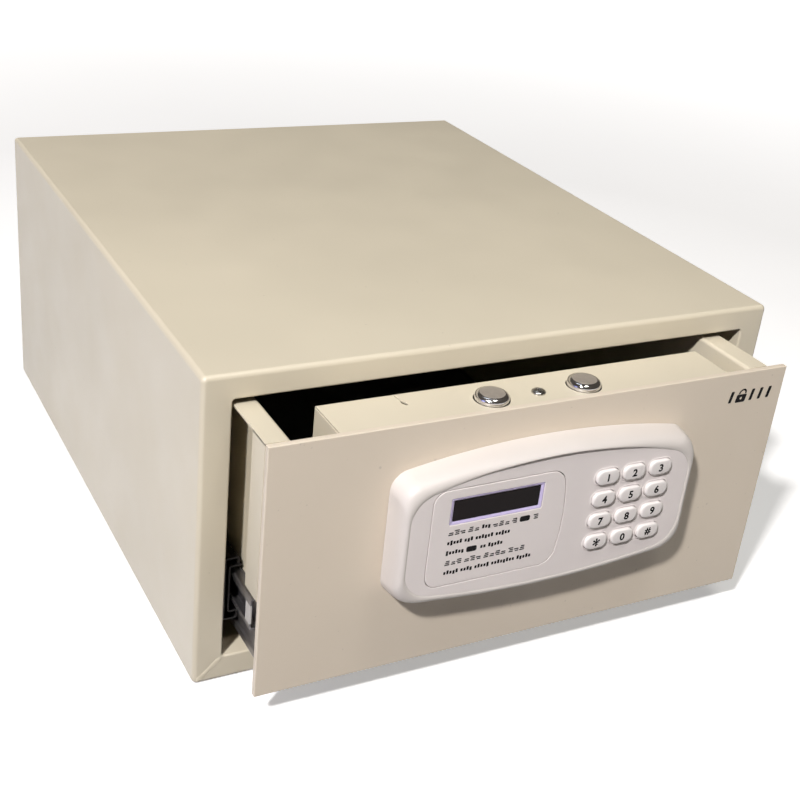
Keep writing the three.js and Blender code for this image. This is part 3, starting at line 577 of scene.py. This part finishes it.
def build_mitre_welds():
    """Dressed weld strip along the mitre of each bottom front corner."""
    half_width, sunk, rise = 2.1 * MM, 0.12 * MM, 0.3 * MM
    for side, x_edge, x_lip in (
        ("left", case_low.x, opening_low.x), ("right", case_high.x, opening_high.x)
    ):
        lip = Vector((x_lip, 0, opening_low.z))
        edge = Vector((x_edge, 0, case_low.z))
        start, end = lip.lerp(edge, 0.05), lip.lerp(edge, 0.86)
        across = (end - start).cross(Vector((0, 1, 0))).normalized() * half_width
        rings = []
        for i in range(17):
            share = i / 16
            swell = 0.85 + 0.12 * sin(9 * share) + 0.05 * sin(23 * share)
            swell *= min(1, 0.3 + 9 * share) * min(1, 0.3 + 9 * (1 - share))
            centre = start.lerp(end, share)
            ring = []
            for angle in (pi * j / 8 for j in range(9)):
                y = case_low.y + sunk - rise * sin(angle)
                ring.append(centre + across * swell * cos(angle) + Vector((0, y, 0)))
            rings.append(ring)
        add_piece(loft(f"mitre_weld_{side}", rings), "case", "case_paint", finish="weld_paint")


def build_back_panel():
    low, high = box_of("back_panel")
    centre = middle_of("back_panel")
    hole_x = middle_of("anchor_plug_back_right").x
    outline = outline_of(low, high, 0, 1.2 * MM, 3)
    holes = [circle(side * hole_x, centre.z, 6 * MM, 32) for side in (-1, 1)]
    panel = plate(
        "back_panel_sheet", [outline, *holes], high.y - low.y, 0.3 * MM, facing_front(centre.y)
    )
    add_piece(panel, "case", "case_paint", "back_panel")
    for side in (-1, 1):
        for level in (-1, 1):
            x = centre.x + side * 0.36 * (high.x - low.x)
            z = centre.z + level * 0.46 * (high.z - low.z)
            add_spot_weld(f"back_spot_{side + 1}{level + 1}", x, high.y - 0.02 * MM, z)


def add_spot_weld(name, x, y, z):
    """A shallow dimple left by a spot weld on the back."""
    profile = [(3, -0.4), (3, -0.05), (2.1, 0), (0.9, -0.15), (0, -0.2)]
    profile = [(radius * MM, height * MM) for radius, height in profile]
    spot = turned(name, profile, lambda a, b, height: Vector((x + a, y + height, z + b)), 32)
    add_piece(spot, "case", "case_paint")


# ---- drawer ----
panel_low, panel_high = box_of("front_panel")
lock_low, lock_high = box_of("lock_cover")
TRAY_SHEET = 1.5 * MM


def build_front_panel():
    hole = circle(0.058, 0.118, 8 * MM, 32)
    outline = outline_of(panel_low, panel_high, 0, 0.6 * MM, 3)
    panel = plate(
        "front_panel_plate", [outline, hole], panel_high.y - panel_low.y, 0.7 * MM,
        facing_front(middle_of("front_panel").y), 3,
    )
    add_piece(panel, "drawer", "panel_paint", "front_panel")


def build_drawer_sides():
    """Wall folded outwards into a top flange, and a short return behind the panel."""
    flange_width = 15.3 * MM
    return_depth = 17.7 * MM
    return_bottom = 88 * MM
    half = TRAY_SHEET / 2
    for side, outwards in SIDES:
        node = f"drawer_side_{side}"
        low, high = box_of(node)
        inner = high.x if outwards < 0 else low.x
        outer = inner + outwards * flange_width
        web = inner + outwards * half
        corners = [(web, low.z), (web, high.z - half), (outer, high.z - half)]
        outline = folded(corners, TRAY_SHEET, 1.7 * MM)
        wall = swept(f"{node}_wall", outline, low.y, high.y)
        add_piece(wall, "drawer", "case_paint", node)
        edges = sorted((outer, outer - outwards * TRAY_SHEET))
        outline = rounded_rectangle(*edges, return_bottom, high.z - 0.35 * MM, 0.3 * MM, 3)
        tongue = swept(f"{node}_return", outline, low.y, low.y + return_depth)
        add_piece(tongue, "drawer", "case_paint", node)


# Slide members in mm: distance out from the drawer wall, and height from the slide's middle.
OUTER_MEMBER = ((3.6, 17.5), (3.6, 21.9), (12.1, 21.9), (12.1, -21.9), (3.6, -21.9), (3.6, -17.5))
MIDDLE_MEMBER = ((1.8, 16.4), (9.3, 16.4), (9.3, -16.4), (1.8, -16.4))
INNER_WEB = ((0.6, 11.4), (0.6, -27.45), (2.0, -28.85), (2.0, -33))
INNER_FLANGE = ((0.7, 10.4), (6.3, 10.4), (6.3, 6.5))
EAR = (0.6, 10, 8, 20)
TAB = (5.6, 6.9, -7.5, 7)


def build_slides():
    """Ball slides: outer, middle and drawer members in folded zinc-plated strip; the outer and
    middle members are near-black, painted shade.
    """
    for side, outwards in SIDES:
        outer, middle, inner = (f"slide_{member}_{side}" for member in ("outer", "middle", "inner"))
        low, high = box_of(inner)
        wall = high.x if outwards < 0 else low.x
        centre_z = middle_of(outer).z
        running_start = low.y + 22.8 * MM

        def member(name, node, body, path, finish="slide_steel", radius=1.5, span=None):
            near, far = box_of(node)
            corners = [(wall + outwards * u * MM, centre_z + v * MM) for u, v in path]
            outline = folded(corners, 1.2 * MM, radius * MM)
            strip = swept(name, outline, *(span or (near.y, far.y)), edge=0.12 * MM)
            add_piece(strip, body, "zinc_sheet", node, finish=finish)

        def fitting(name, box, radius, steps, thickness, y, finish):
            near, far, bottom, top = box
            edges = sorted((wall + outwards * near * MM, wall + outwards * far * MM))
            outline = rounded_rectangle(
                *edges, centre_z + bottom * MM, centre_z + top * MM, radius * MM, steps
            )
            part = plate(name, [outline], thickness * MM, 0.25 * MM, facing_front(y))
            add_piece(part, "drawer", "zinc_sheet", inner, finish=finish)

        # outer and middle members: near-black painted shade
        member(f"{outer}_strip", outer, "case", OUTER_MEMBER, "slide_shade")
        member(f"{middle}_strip", middle, middle, MIDDLE_MEMBER, "slide_shade")
        for level in (1, -1):
            path = [(u, v * level) for u, v in INNER_FLANGE]
            member(
                f"{inner}_flange_{level + 1}", inner, "drawer", path, radius=1.2,
                span=(running_start, high.y - 0.3 * MM),
            )
        member(f"{inner}_web", inner, "drawer", INNER_WEB, radius=0.9)
        fitting(f"{inner}_ear", EAR, 2, 5, 1.9, low.y + 1.05 * MM, None)
        # the tab's pale diffuse finish is painted light, bright in the panel's shade
        fitting(f"{inner}_tab", TAB, 0.5, 4, 7, running_start + 3.6 * MM, "slide_tab")
        build_ball_cage(f"ball_cage_outer_{side}", outwards, 3.9 * MM)
        build_ball_cage(f"ball_cage_inner_{side}", outwards, 2.0 * MM)


def build_ball_cage(node, outwards, ball_reach):
    """A brass strip folded round the members, with a row of steel balls along each edge."""
    low, high = box_of(node)
    middle = middle_of(node)
    radius = 1.9 * MM
    near, far = (high.x, low.x) if outwards < 0 else (low.x, high.x)
    start, end = near + outwards * 0.3 * MM, far - outwards * 0.3 * MM
    top = middle.z + (high.z - low.z) / 2 - radius
    bottom = 2 * middle.z - top
    corners = [(start, top), (end, top), (end, bottom), (start, bottom)]
    outline = folded(corners, 0.6 * MM, 1.4 * MM, 4)
    rail = swept(f"{node}_strip", outline, low.y, high.y, edge=0.08 * MM)
    add_piece(rail, node, "ball_cage", node)
    edit = bmesh.new()
    for i in range(4):
        for z in (top, bottom):
            y = low.y + (high.y - low.y) * (i + 0.5) / 4
            spot = Matrix.Translation((near + outwards * ball_reach, y, z))
            bmesh.ops.create_uvsphere(
                edit, u_segments=20, v_segments=12, radius=radius, matrix=spot
            )
    mesh = bpy.data.meshes.new(f"{node}_balls")
    edit.to_mesh(mesh)
    edit.free()
    balls = add_object(f"{node}_balls", mesh, 60)
    add_piece(balls, node, "ball_cage", node, finish="steel_ball")


def build_drawer_tray():
    low, high = box_of("drawer_tray")
    bottom, back = low.z + TRAY_SHEET / 2, high.y - TRAY_SHEET / 2
    outline = folded([(low.y, bottom), (back, bottom), (back, high.z)], TRAY_SHEET, 2.2 * MM)
    tray = swept("drawer_tray_sheet", outline, low.x, high.x, along_x)
    add_piece(tray, "drawer", "case_paint", "drawer_tray")


def build_drawer_mat():
    low, high = box_of("drawer_mat")
    outline = rounded_rectangle(low.x, high.x, low.y, high.y, 6 * MM, 6)
    place = facing_up((low.z + high.z) / 2)
    mat = plate("drawer_mat_felt", [outline], high.z - low.z, 0.9 * MM, place, 3)
    add_piece(mat, "drawer", "felt_mat", "drawer_mat")


COVER_SHEET = 1.2 * MM
BOLT_HOLE = 11.1 * MM
screw_middle = middle_of("cover_screw")


def relief_slit():
    """Hook-shaped cut that runs in from the rear edge of the lock box's top."""
    x, half, depth = -88 * MM, 0.6 * MM, 16 * MM
    left, right = [], []
    for i in range(11):
        share = i / 10
        wander = 0.9 * MM * sin(2.6 * share) + 2.4 * MM * share ** 3
        width = half * (0.75 + 1.9 * exp(-((share - 0.82) / 0.13) ** 2))
        width *= 1 if share < 1 else 0.1
        y = lock_high.y + 1 * MM - depth * share
        left.append((x + wander - width, y))
        right.append((x + wander + width, y))
    return left + right[::-1]


def build_lock_cover_top():
    """Top and rear wall in one folded sheet, with the bolt holes and the battery window."""
    bend = 1.6 * MM
    top_end = lock_high.y - bend
    unfolded = lock_high.y + lock_high.z + bend * (pi / 2 - 1)
    window_low, window_high = box_of("battery_door")
    gap, inset = 0.4 * MM, 0.3 * MM
    outline = rounded_rectangle(
        lock_low.x + inset, lock_high.x - inset, panel_high.y + inset, unfolded - lock_low.z,
        0.5 * MM, 2,
    )
    window = rounded_rectangle(
        window_low.x - gap, window_high.x + gap, unfolded - window_high.z - gap,
        unfolded - window_low.z + gap, 0.6 * MM, 2,
    )
    bolts = [middle_of(f"bolt_{side}") for side, _ in SIDES]
    holes = [
        *(circle(bolt.x, bolt.y, BOLT_HOLE, 64) for bolt in bolts),
        circle(screw_middle.x, screw_middle.y, 2.2 * MM, 24), window,
        [point for point in relief_slit() if point[1] < top_end],
    ]
    cover = plate(
        "lock_cover_top", [outline, *holes], COVER_SHEET, 0.2 * MM,
        facing_up(lock_high.z - COVER_SHEET / 2), 2,
    )
    fold_down(cover.data, top_end, bend)
    add_piece(cover, "drawer", "case_paint", "lock_cover")


def cut_flat(edit, point, normal):
    """Adds edges where a plane crosses the mesh, and removes nothing."""
    everything = list(edit.verts) + list(edit.edges) + list(edit.faces)
    bmesh.ops.bisect_plane(edit, geom=everything, plane_co=point, plane_no=normal)


def fold_down(mesh, start, radius, steps=8):
    """Folds what lies past y = start down through a right angle, on an outer radius."""
    edit = bmesh.new()
    edit.from_mesh(mesh)
    length = radius * pi / 2
    for i in range(steps + 1):
        cut_flat(edit, (0, start + length * i / steps, 0), (0, 1, 0))
    for vertex in edit.verts:
        past = vertex.co.y - start
        if past <= 0:
            continue
        depth = lock_high.z - vertex.co.z
        angle = min(past / length, 1) * pi / 2
        beyond = max(past - length, 0)
        reach = radius - depth
        vertex.co.y = start + reach * sin(angle)
        vertex.co.z = lock_high.z - radius + reach * cos(angle) - beyond
    edit.to_mesh(mesh)
    edit.free()
    mesh.set_sharp_from_angle(angle=radians(35))


def build_lock_cover_ends():
    """Side walls of the lock box; the top sheet's edge lies on them with a thin seam."""
    for side, x, inwards in (("left", lock_low.x, 1), ("right", lock_high.x, -1)):
        half = COVER_SHEET / 2
        web, foot = x + inwards * half, lock_low.z + half
        top = lock_high.z - COVER_SHEET - 0.25 * MM
        corners = [(x + inwards * 12 * MM, foot), (web, foot), (web, top)]
        end = swept(
            f"lock_cover_end_{side}", folded(corners, COVER_SHEET, 1.2 * MM, 4),
            panel_high.y + 0.3 * MM, lock_high.y - COVER_SHEET - 0.2 * MM,
        )
        add_piece(end, "drawer", "case_paint")


def build_battery_door():
    low, high = box_of("battery_door")
    rear = lock_high.y
    outline = outline_of(low, high, 0, 1.2 * MM, 3)
    lid = plate(
        "battery_lid_plate", [outline], COVER_SHEET, 0.25 * MM, facing_front(rear - COVER_SHEET / 2)
    )
    add_piece(lid, "battery_lid", "case_paint", "battery_door")
    centre = middle_of("battery_door")
    pull_half = 7 * MM
    corners = [
        (rear - 0.3 * MM, high.z - 9 * MM), (rear + 0.4 * MM, high.z - 9 * MM),
        (rear + 0.6 * MM, high.z - 4.5 * MM), (high.y - 0.2 * MM, high.z - 4.2 * MM),
    ]
    outline = folded(corners, 0.9 * MM, 0.5 * MM, 3)
    pull = swept(
        "battery_lid_pull", outline, centre.x - pull_half, centre.x + pull_half, along_x
    )
    add_piece(pull, "battery_lid", "case_paint")


def build_bolts():
    """Chromed pins: a broad rounded shoulder, and a face turned flat on top, whose grey is a
    painted reflection.
    """
    shoulder, drop = 2.7 * MM, 2.9 * MM
    for side, _ in SIDES:
        node = f"bolt_{side}"
        low, high = box_of(node)
        centre = middle_of(node)
        radius = (high.x - low.x) / 2
        top = high.z - 0.12 * MM
        profile = [(0, low.z), (radius - 0.5 * MM, low.z), (radius, low.z + 0.5 * MM)]
        for angle in quarter_turn(12):
            profile.append((
                radius - shoulder * (1 - cos(angle)), top - drop * (1 - sin(angle)),
            ))
        profile.append((0, top))
        pin = turned(f"{node}_pin", profile, upright(centre), 96, 28)
        add_piece(pin, "bolts", "bolt_chrome", node)
        rim = radius - shoulder - 0.1 * MM
        under = top - 0.4 * MM
        profile = [(0, under), (rim, under), (rim, top), (rim - 0.12 * MM, high.z), (0, high.z)]
        face = turned(f"{node}_face", profile, upright(centre), 96)
        # the face's grey-beige is a painted reflection
        add_piece(face, "bolts", "bolt_chrome", finish="bolt_satin")
        # the black ring in each bolt's gap is painted shade
        build_painted_gap_shade(side, centre, radius)


def build_painted_gap_shade(side, centre, radius):
    """Black ring under the cover round each bolt: painted shade, so that the gap round the bolt
    shows dark.
    """
    top = lock_high.z - COVER_SHEET - 0.1 * MM
    bottom = top - 5 * MM
    inner, outer = radius + 0.15 * MM, radius + 1.6 * MM
    profile = [(inner, bottom), (outer, bottom), (outer, top), (inner + 0.3 * MM, top)]
    profile.append((inner, top - 0.4 * MM))
    collar = turned(f"bolt_gap_painted_shade_{side}", profile, upright(centre), closed=True)
    # black finish: painted shade in the gap
    add_piece(collar, "drawer", "black_plastic")


def build_cover_screw():
    """Pan-head screw with a cross recess."""
    low, high = box_of("cover_screw")
    head, shank = 4.4 * MM, 1.8 * MM
    seat = lock_high.z + 0.05 * MM
    rise = high.z - seat
    profile = [(0, low.z), (shank, low.z), (shank, seat), (head, seat)]
    profile.append((head, lock_high.z + 0.3 * rise))
    for angle in quarter_turn(8)[1:]:
        height = lock_high.z + rise * (0.3 + 0.7 * sin(angle))
        profile.append((head * cos(angle), height))
    screw = turned("cover_screw_head", profile, upright(screw_middle), 48, 50)
    cutter = cross_cutter(high.z)
    modifier = screw.modifiers.new("recess", "BOOLEAN")
    modifier.object = cutter
    modifier.solver = "EXACT"
    screw.data = evaluated_mesh(screw)
    screw.modifiers.remove(modifier)
    bpy.data.objects.remove(cutter)
    add_piece(screw, "drawer", "zinc_screw", "cover_screw")


def cross_cutter(top):
    """A tapering plus-shaped punch."""
    arm, half = 2.2 * MM, 0.45 * MM
    plus = [
        (arm, half), (half, half), (half, arm), (-half, arm), (-half, half), (-arm, half),
        (-arm, -half), (-half, -half), (-half, -arm), (half, -arm), (half, -half), (arm, -half),
    ]
    turn = Matrix.Rotation(0.5, 2)
    rings = []
    for height, grow in ((top - 1.2 * MM, 0.6), (top + 0.6 * MM, 1.05)):
        ring = []
        for a, b in plus:
            flat = turn @ Vector((a * grow, b * grow))
            ring.append(Vector((screw_middle.x + flat.x, screw_middle.y + flat.y, height)))
        rings.append(ring)
    return loft("cross_cutter", rings)


# ---- keypad ----
keypad = middle_of("bezel")
face_y = panel_low.y
FIELD_DEPTH = 18.0 * MM
INSERT_FACE = FIELD_DEPTH + 0.05 * MM
INSERT_LEFT, INSERT_RIGHT = -85 * MM, 3.5 * MM
INSERT_LOW, INSERT_HIGH = -32.6 * MM, 33.6 * MM


def on_keypad(x, z, depth):
    return Vector((keypad.x + x, face_y - depth, keypad.z + z))


def bowed_outline(half_width, top, bottom, top_radius, bottom_radius, corner):
    """Rounded oblong with bowed long sides; every outline has the same count of points."""
    steps, bow = 10, 26
    points = []
    for facing, height, radius in ((1, top, top_radius), (-1, bottom, bottom_radius)):
        corner_x = half_width - corner
        centre = height - radius
        corner_z = centre + sqrt((radius - corner) ** 2 - corner_x ** 2)
        tangent = atan2(corner_z - centre, corner_x)
        half = []
        for i in range(steps + 1):
            angle = tangent * i / steps
            half.append((corner_x + corner * cos(angle), corner_z + corner * sin(angle)))
        for i in range(1, bow):
            angle = tangent + (pi - 2 * tangent) * i / bow
            half.append((radius * cos(angle), centre + radius * sin(angle)))
        half += [(-x, z) for x, z in reversed(half[:steps + 1])]
        points += [(facing * x, facing * z) for x, z in half]
    return points


def outer_outline():
    low, high = box_of("bezel")
    half, height = (high.x - low.x) / 2, (high.z - low.z) / 2
    return bowed_outline(half, height, height, 520 * MM, 800 * MM, 13 * MM)


def field_outline(inset=0.0):
    return bowed_outline(
        98.3 * MM - inset, 44.8 * MM - inset, 43.2 * MM - inset,
        300 * MM - inset, 620 * MM - inset, 19 * MM - inset,
    )


def brow_height(x, z):
    """How far the rim stands above the field: a crest along the top, almost none elsewhere."""
    along = exp(-((x - 5 * MM) / (52 * MM)) ** 4) if z > 0 else 0
    return 0.25 * MM + 1.35 * MM * along


def between(first, second, share):
    """The outline at a share of the way from one outline to another."""
    return [
        (ax + (bx - ax) * share, az + (bz - az) * share)
        for (ax, az), (bx, bz) in zip(first, second)
    ]


def build_bezel_rim():
    """The rolled rim, from the panel round the front edge and down to the flat field."""
    outer, field = outer_outline(), field_outline()
    roll = [
        (0.0, 0.3), (0.02, 2.0), (0.06, 6.0), (0.11, 10.0), (0.17, 12.6), (0.26, 14.8),
        (0.38, 16.4), (0.52, 17.4), (0.66, 17.9), (0.78, 18.1), (0.88, 18.1), (0.94, 18.0),
    ]
    rings = []
    for share, depth in roll:
        ring = []
        for (x, z), (fx, fz) in zip(between(outer, field, share), field):
            lift = brow_height(fx, fz) * min(1, max(0, (share - 0.1) / 0.7)) ** 1.5
            ring.append(on_keypad(x, z, depth * MM + lift))
        rings.append(ring)
    rings.append([on_keypad(x, z, FIELD_DEPTH + brow_height(x, z) * 0.85) for x, z in field])
    for inset, sunk in ((0.45, 0.1), (0.5, 2.2), (-1.6, 2.2)):
        outline = field_outline(inset * MM)
        rings.append([on_keypad(x, z, FIELD_DEPTH - sunk * MM) for x, z in outline])
    rings.append([on_keypad(x, z, 0.3 * MM) for x, z in between(outer, field, 0.42)])
    rim = loft("bezel_rim", rings, closed=True, smooth_angle=48)
    add_piece(rim, "drawer", "bezel_plastic", "bezel")


def insert_outline(inset):
    """The insert: straight on the left, bowed out on the right."""
    steps, bulge = 8, 3.4 * MM
    right = INSERT_RIGHT - inset
    low, high = INSERT_LOW + inset, INSERT_HIGH - inset
    radius = 9 * MM - inset

    def bow(share):
        return bulge * sin(pi * share)

    bowed = []
    for x, z in rounded_rectangle(INSERT_LEFT + inset, right, low, high, radius, steps):
        share = (z - low) / (high - low)
        if x > right - radius:
            x += bow(min(max(share, 0), 1)) * (x - right + radius) / radius
        bowed.append((x, z))
    extra = []
    for i in range(1, 12):
        share = (radius + (high - low - 2 * radius) * i / 12) / (high - low)
        extra.append((right + bow(share), low + (high - low) * share))
    return bowed[:steps + 1] + extra + bowed[steps + 1:]


def display_outline(gap):
    low, high = box_of("display_frame")
    return moved(outline_of(low, high, gap, 0.8 * MM, 4), -keypad.x, -keypad.z)


def moved(outline, x, z):
    return [(a + x, b + z) for a, b in outline]


def keypad_plate(name, outlines, thickness, edge, depth, resolution):
    """A plate with outlines about the keypad's middle; depth is its mid-plane's."""
    outlines = [moved(outline, keypad.x, keypad.z) for outline in outlines]
    return plate(name, outlines, thickness, edge, facing_front(face_y - depth), resolution)


KEY_NAMES = ("1", "2", "3", "4", "5", "6", "7", "8", "9", "star", "0", "hash")
KEY_HALF_WIDTH = 8.3 * MM
KEY_HALF_HEIGHT = 5.0 * MM


def key_outline(grow=0.0, steps=10):
    half_width, half_height = KEY_HALF_WIDTH + grow, KEY_HALF_HEIGHT + grow
    return rounded_rectangle(
        -half_width, half_width, -half_height, half_height, half_height - 0.4 * MM, steps
    )


def key_places():
    for name in KEY_NAMES:
        centre = middle_of(f"key_{name}")
        yield name, centre.x - keypad.x, centre.z - keypad.z


def build_field():
    """The flat field with its key holes and the pocket for the insert."""
    thickness = 2.2 * MM
    holes = [moved(key_outline(0.35 * MM), x, z) for _, x, z in key_places()]
    field = keypad_plate(
        "bezel_field", [field_outline(0.4 * MM), insert_outline(0), *holes], thickness,
        0.28 * MM, FIELD_DEPTH - thickness / 2, 3,
    )
    add_piece(field, "drawer", "bezel_plastic", finish="insert_plastic")
    ledge = keypad_plate(
        "bezel_pocket_floor", [insert_outline(-1.5 * MM), display_outline(0.3 * MM)], 0.7 * MM,
        0.1 * MM, FIELD_DEPTH - thickness - 0.4 * MM, 1,
    )
    add_piece(ledge, "drawer", "bezel_plastic")


# growth of each ring beyond the key, and its rise above the field, in mm
WELL_RINGS = ((0.3, -0.3), (0.32, 0.1), (0.55, 0.26), (0.9, 0.22), (1.25, 0.06), (1.3, -0.3))


def build_key_wells():
    """A low collar round each key hole, which catches the light as the moulded wells do."""
    for name, x, z in key_places():
        rings = []
        for grow, rise in WELL_RINGS:
            outline = moved(key_outline(grow * MM, 8), x, z)
            rings.append([on_keypad(a, b, FIELD_DEPTH + rise * MM) for a, b in outline])
        well = loft(f"key_well_{name}", rings, closed=True, smooth_angle=60)
        add_piece(well, "drawer", "bezel_plastic", finish="insert_plastic")


def build_insert():
    thickness = 1.2 * MM
    insert = keypad_plate(
        "label_insert_plate", [insert_outline(0.45 * MM), display_outline(0.25 * MM)], thickness,
        0.4 * MM, INSERT_FACE - thickness / 2, 3,
    )
    add_piece(insert, "drawer", "insert_plastic", "label_insert")


# share of the way from the frame's edge to the window's, and depth in mm
SURROUND_RINGS = (
    (0, 15.8), (0, 17.6), (0.1, 17.85), (0.25, 17.85), (0.9, 17.3), (1, 17.1), (1, 15.8),
)


def build_display():
    """A pale frame that slopes down to a smoked window."""
    frame_low, frame_high = box_of("display_frame")
    low, high = box_of("display_lens")
    rings = []
    for share, depth in SURROUND_RINGS:
        grow = Vector((1, 1, 1)) * 0.25 * MM * share
        near, far = frame_low.lerp(low, share) - grow, frame_high.lerp(high, share) + grow
        outline = outline_of(near, far, 0, 0.7 * MM, 5)
        rings.append([along_y(x, z, face_y - depth * MM) for x, z in outline])
    surround = loft("display_surround", rings, closed=True, smooth_angle=50)
    add_piece(surround, "drawer", "frame_plastic", "display_frame")
    window = plate(
        "display_window", [outline_of(low, high, 0, 0.5 * MM, 4)], high.y - low.y, 0.15 * MM,
        facing_front(middle_of("display_lens").y),
    )
    add_piece(window, "drawer", "display_lens", "display_lens")


def key_rise(share):
    """Height of a key's face at a share of the way from its middle to its edge."""
    over = min(1, max(0, share - 0.8) / 0.2)
    return -0.3 * MM * share ** 2 - 0.95 * MM * (1 - sqrt(1 - over ** 2))


KEY_SHARES = (1.0, 0.997, 0.985, 0.965, 0.93, 0.89, 0.84, 0.78, 0.7, 0.55, 0.35, 0.12)


def build_keys():
    front = box_of("key_1")[0].y + 0.1 * MM
    back = box_of("key_1")[1].y
    for name, x, z in key_places():
        outline, collar = key_outline(), key_outline(0.6 * MM)

        def ring(points, share, y):
            spot = along_y(keypad.x + x, keypad.z + z, y)
            return [spot + along_y(a * share, b * share, 0) for a, b in points]

        step = back - 1 * MM
        rings = [ring(collar, 1, back), ring(collar, 1, step), ring(outline, 1, step)]
        rings += [ring(outline, share, front - key_rise(share)) for share in KEY_SHARES]
        key = loft(f"key_{name}_cap", rings, smooth_angle=50)
        add_piece(key, f"button_{name}", "key_plastic", f"key_{name}")
        build_legend(name, x, z, front)


LEGENDS = {"star": "*", "hash": "#"}
LEGEND_SIZE = 6.9 * MM
STAR_SCALE = 1.75
LEGEND_SHIFT = Vector((-0.3 * MM, 0.1 * MM, 0))


def build_legend(name, x, z, front):
    """The printed sign on a key, laid on its crowned face."""
    text = bpy.data.curves.new(f"legend_{name}", "FONT")
    text.body = LEGENDS.get(name, name)
    text.size = LEGEND_SIZE * (STAR_SCALE if name == "star" else 1)
    text.align_x = "CENTER"
    text.offset = 0.24 * MM
    text.resolution_u = 6
    mesh = mesh_of_curve(text)
    spans = zip(*(vertex.co for vertex in mesh.vertices))
    middle = Vector([(min(span) + max(span)) / 2 for span in spans])
    edit = bmesh.new()
    edit.from_mesh(mesh)
    bmesh.ops.remove_doubles(edit, verts=edit.verts, dist=1e-7)
    slice_finely(edit, 0.45 * MM)
    walls = bmesh.ops.extrude_face_region(edit, geom=list(edit.faces))
    raised = {item for item in walls["geom"] if isinstance(item, bmesh.types.BMVert)}
    for vertex in edit.verts:
        a, b, _ = vertex.co - middle + LEGEND_SHIFT
        share = hypot(a / KEY_HALF_WIDTH, b / KEY_HALF_HEIGHT)
        proud = 0.04 * MM if vertex in raised else -0.08 * MM
        y = front - key_rise(share) - proud
        vertex.co = along_y(keypad.x + x + a, keypad.z + z + b, y)
    edit.to_mesh(mesh)
    edit.free()
    legend = add_object(f"legend_{name}", mesh, 30)
    add_piece(legend, f"button_{name}", "key_plastic", finish="ink")


def slice_finely(edit, pitch):
    """Cuts flat shapes into small cells, so that they can follow a curved face."""
    for axis in (Vector((1, 0, 0)), Vector((0, 1, 0))):
        reach = [vertex.co.dot(axis) for vertex in edit.verts]
        steps = int((max(reach) - min(reach)) / pitch)
        for i in range(1, steps + 1):
            cut_flat(edit, axis * (min(reach) + i * pitch), axis)


def add_print(name, shapes, place, slot, lean=0.0):
    """Flat printed shapes in mm about a place, a film's thickness proud of the surface."""
    outlines = [
        [(place.x + (a + lean * b) * MM, place.z + b * MM) for a, b in shape] for shape in shapes
    ]
    film = 0.06 * MM
    obj = plate(name, outlines, film, 0.012 * MM, facing_front(place.y - film * 0.3), 1)
    add_piece(obj, "drawer", slot, finish="ink")


def glyph(x, z, kind, index):
    """Shapes and width of a meaningless mark: a stack of strokes, a key sign or a block."""
    if kind == "s":
        strokes = []
        for level in (-1, 0, 1) if index % 2 == 0 else (-1, 0):
            start, low = x + 0.4 * ((index + level) % 3), z + 1.25 * level - 0.4
            strokes.append(rounded_rectangle(start, x + 3.3, low, low + 0.8, 0.2, 2))
        return strokes, 3.95
    if kind == "k":
        return [rounded_rectangle(x, x + 7.0, z - 1.9, z + 1.9, 1.2, 4)], 8.2
    top = z + (1.7 if index % 3 == 0 else 1.0)
    bottom = z - (1.6 if index % 5 == 3 else 1.0)
    return [rounded_rectangle(x, x + 1.5, bottom, top, 0.3, 2)], 2.05


# height above the keypad's middle in mm, and words of stacks, blocks and key signs
BLANK_ROWS = (
    (4.2, "sss ss bbb sss s k s"),
    (-2.7, "bbbbb bbb bbbbbb bbbbb"),
    (-9.6, "bbbbbb k bb bbbbb"),
    (-16.5, "sss sss ssss sss"),
    (-23.4, "bbbbb bbbb bbbbb bbbbbbbb bbbbb"),
)


def build_blank_lines():
    """Rows of meaningless marks where the printed instructions would be."""
    for number, (z, words) in enumerate(BLANK_ROWS, 1):
        shapes = []
        x, index = -72.6, number
        for word in words.split():
            for kind in word:
                marks, advance = glyph(x, z, kind, index)
                shapes += marks
                x += advance
                index += 1
            x += 1.3
        add_print(f"blank_line_{number}", shapes, on_keypad(0, 0, INSERT_FACE), "insert_plastic")


def build_panel_mark():
    """A plain padlock sign between slanted bars, printed at the panel's top right."""
    shapes = [rounded_rectangle(x - 1.2, x + 1.2, -4, 4, 0.5, 3) for x in (2, 19, 26, 33)]
    middle, foot = 10.5, 1.5
    shapes.append(rounded_rectangle(middle - 4, middle + 4, -4.4, 1.2, 0.9, 4))
    shapes.append(circle(middle, -1.5, 0.9, 20))
    shackle = []
    for radius, order in ((3.1, 1), (1.9, -1)):
        turns = [pi * i / 16 for i in range(17)][::order]
        arc = [(middle + radius * cos(turn), 2 + radius * sin(turn)) for turn in turns]
        shackle += [(arc[0][0], foot), *arc, (arc[-1][0], foot)]
    shapes.append(shackle)
    place = Vector((panel_high.x - 44 * MM, panel_low.y, panel_high.z - 17 * MM))
    add_print("panel_mark", shapes, place, "panel_paint", 0.2)


# ---- carried-over CAD nodes ----
def finish_cad_nodes():
    """Every CAD node that still shows gets its own finish and slightly eased edges."""
    slots = {part["node"]: part["material_slot"] for part in frame["record"]["subparts"]}
    for name, obj in frame["nodes"].items():
        if obj.hide_render:
            continue
        obj.data.materials.clear()
        obj.data.materials.append(FINISHES[slots[name]])
        edge = 0.12 * MM if name.startswith(("keypad", "display", "motor_pinion")) else 0.25 * MM
        bevelled(obj, edge, 2, 32)


# ---- build ----
add_camera()
add_studio()
build_case_shell()
build_mitre_welds()
build_back_panel()
build_front_panel()
build_drawer_sides()
build_slides()
build_drawer_tray()
build_drawer_mat()
build_lock_cover_top()
build_lock_cover_ends()
build_battery_door()
build_bolts()
build_cover_screw()
build_bezel_rim()
build_field()
build_key_wells()
build_insert()
build_display()
build_keys()
build_blank_lines()
build_panel_mark()
finish_cad_nodes()
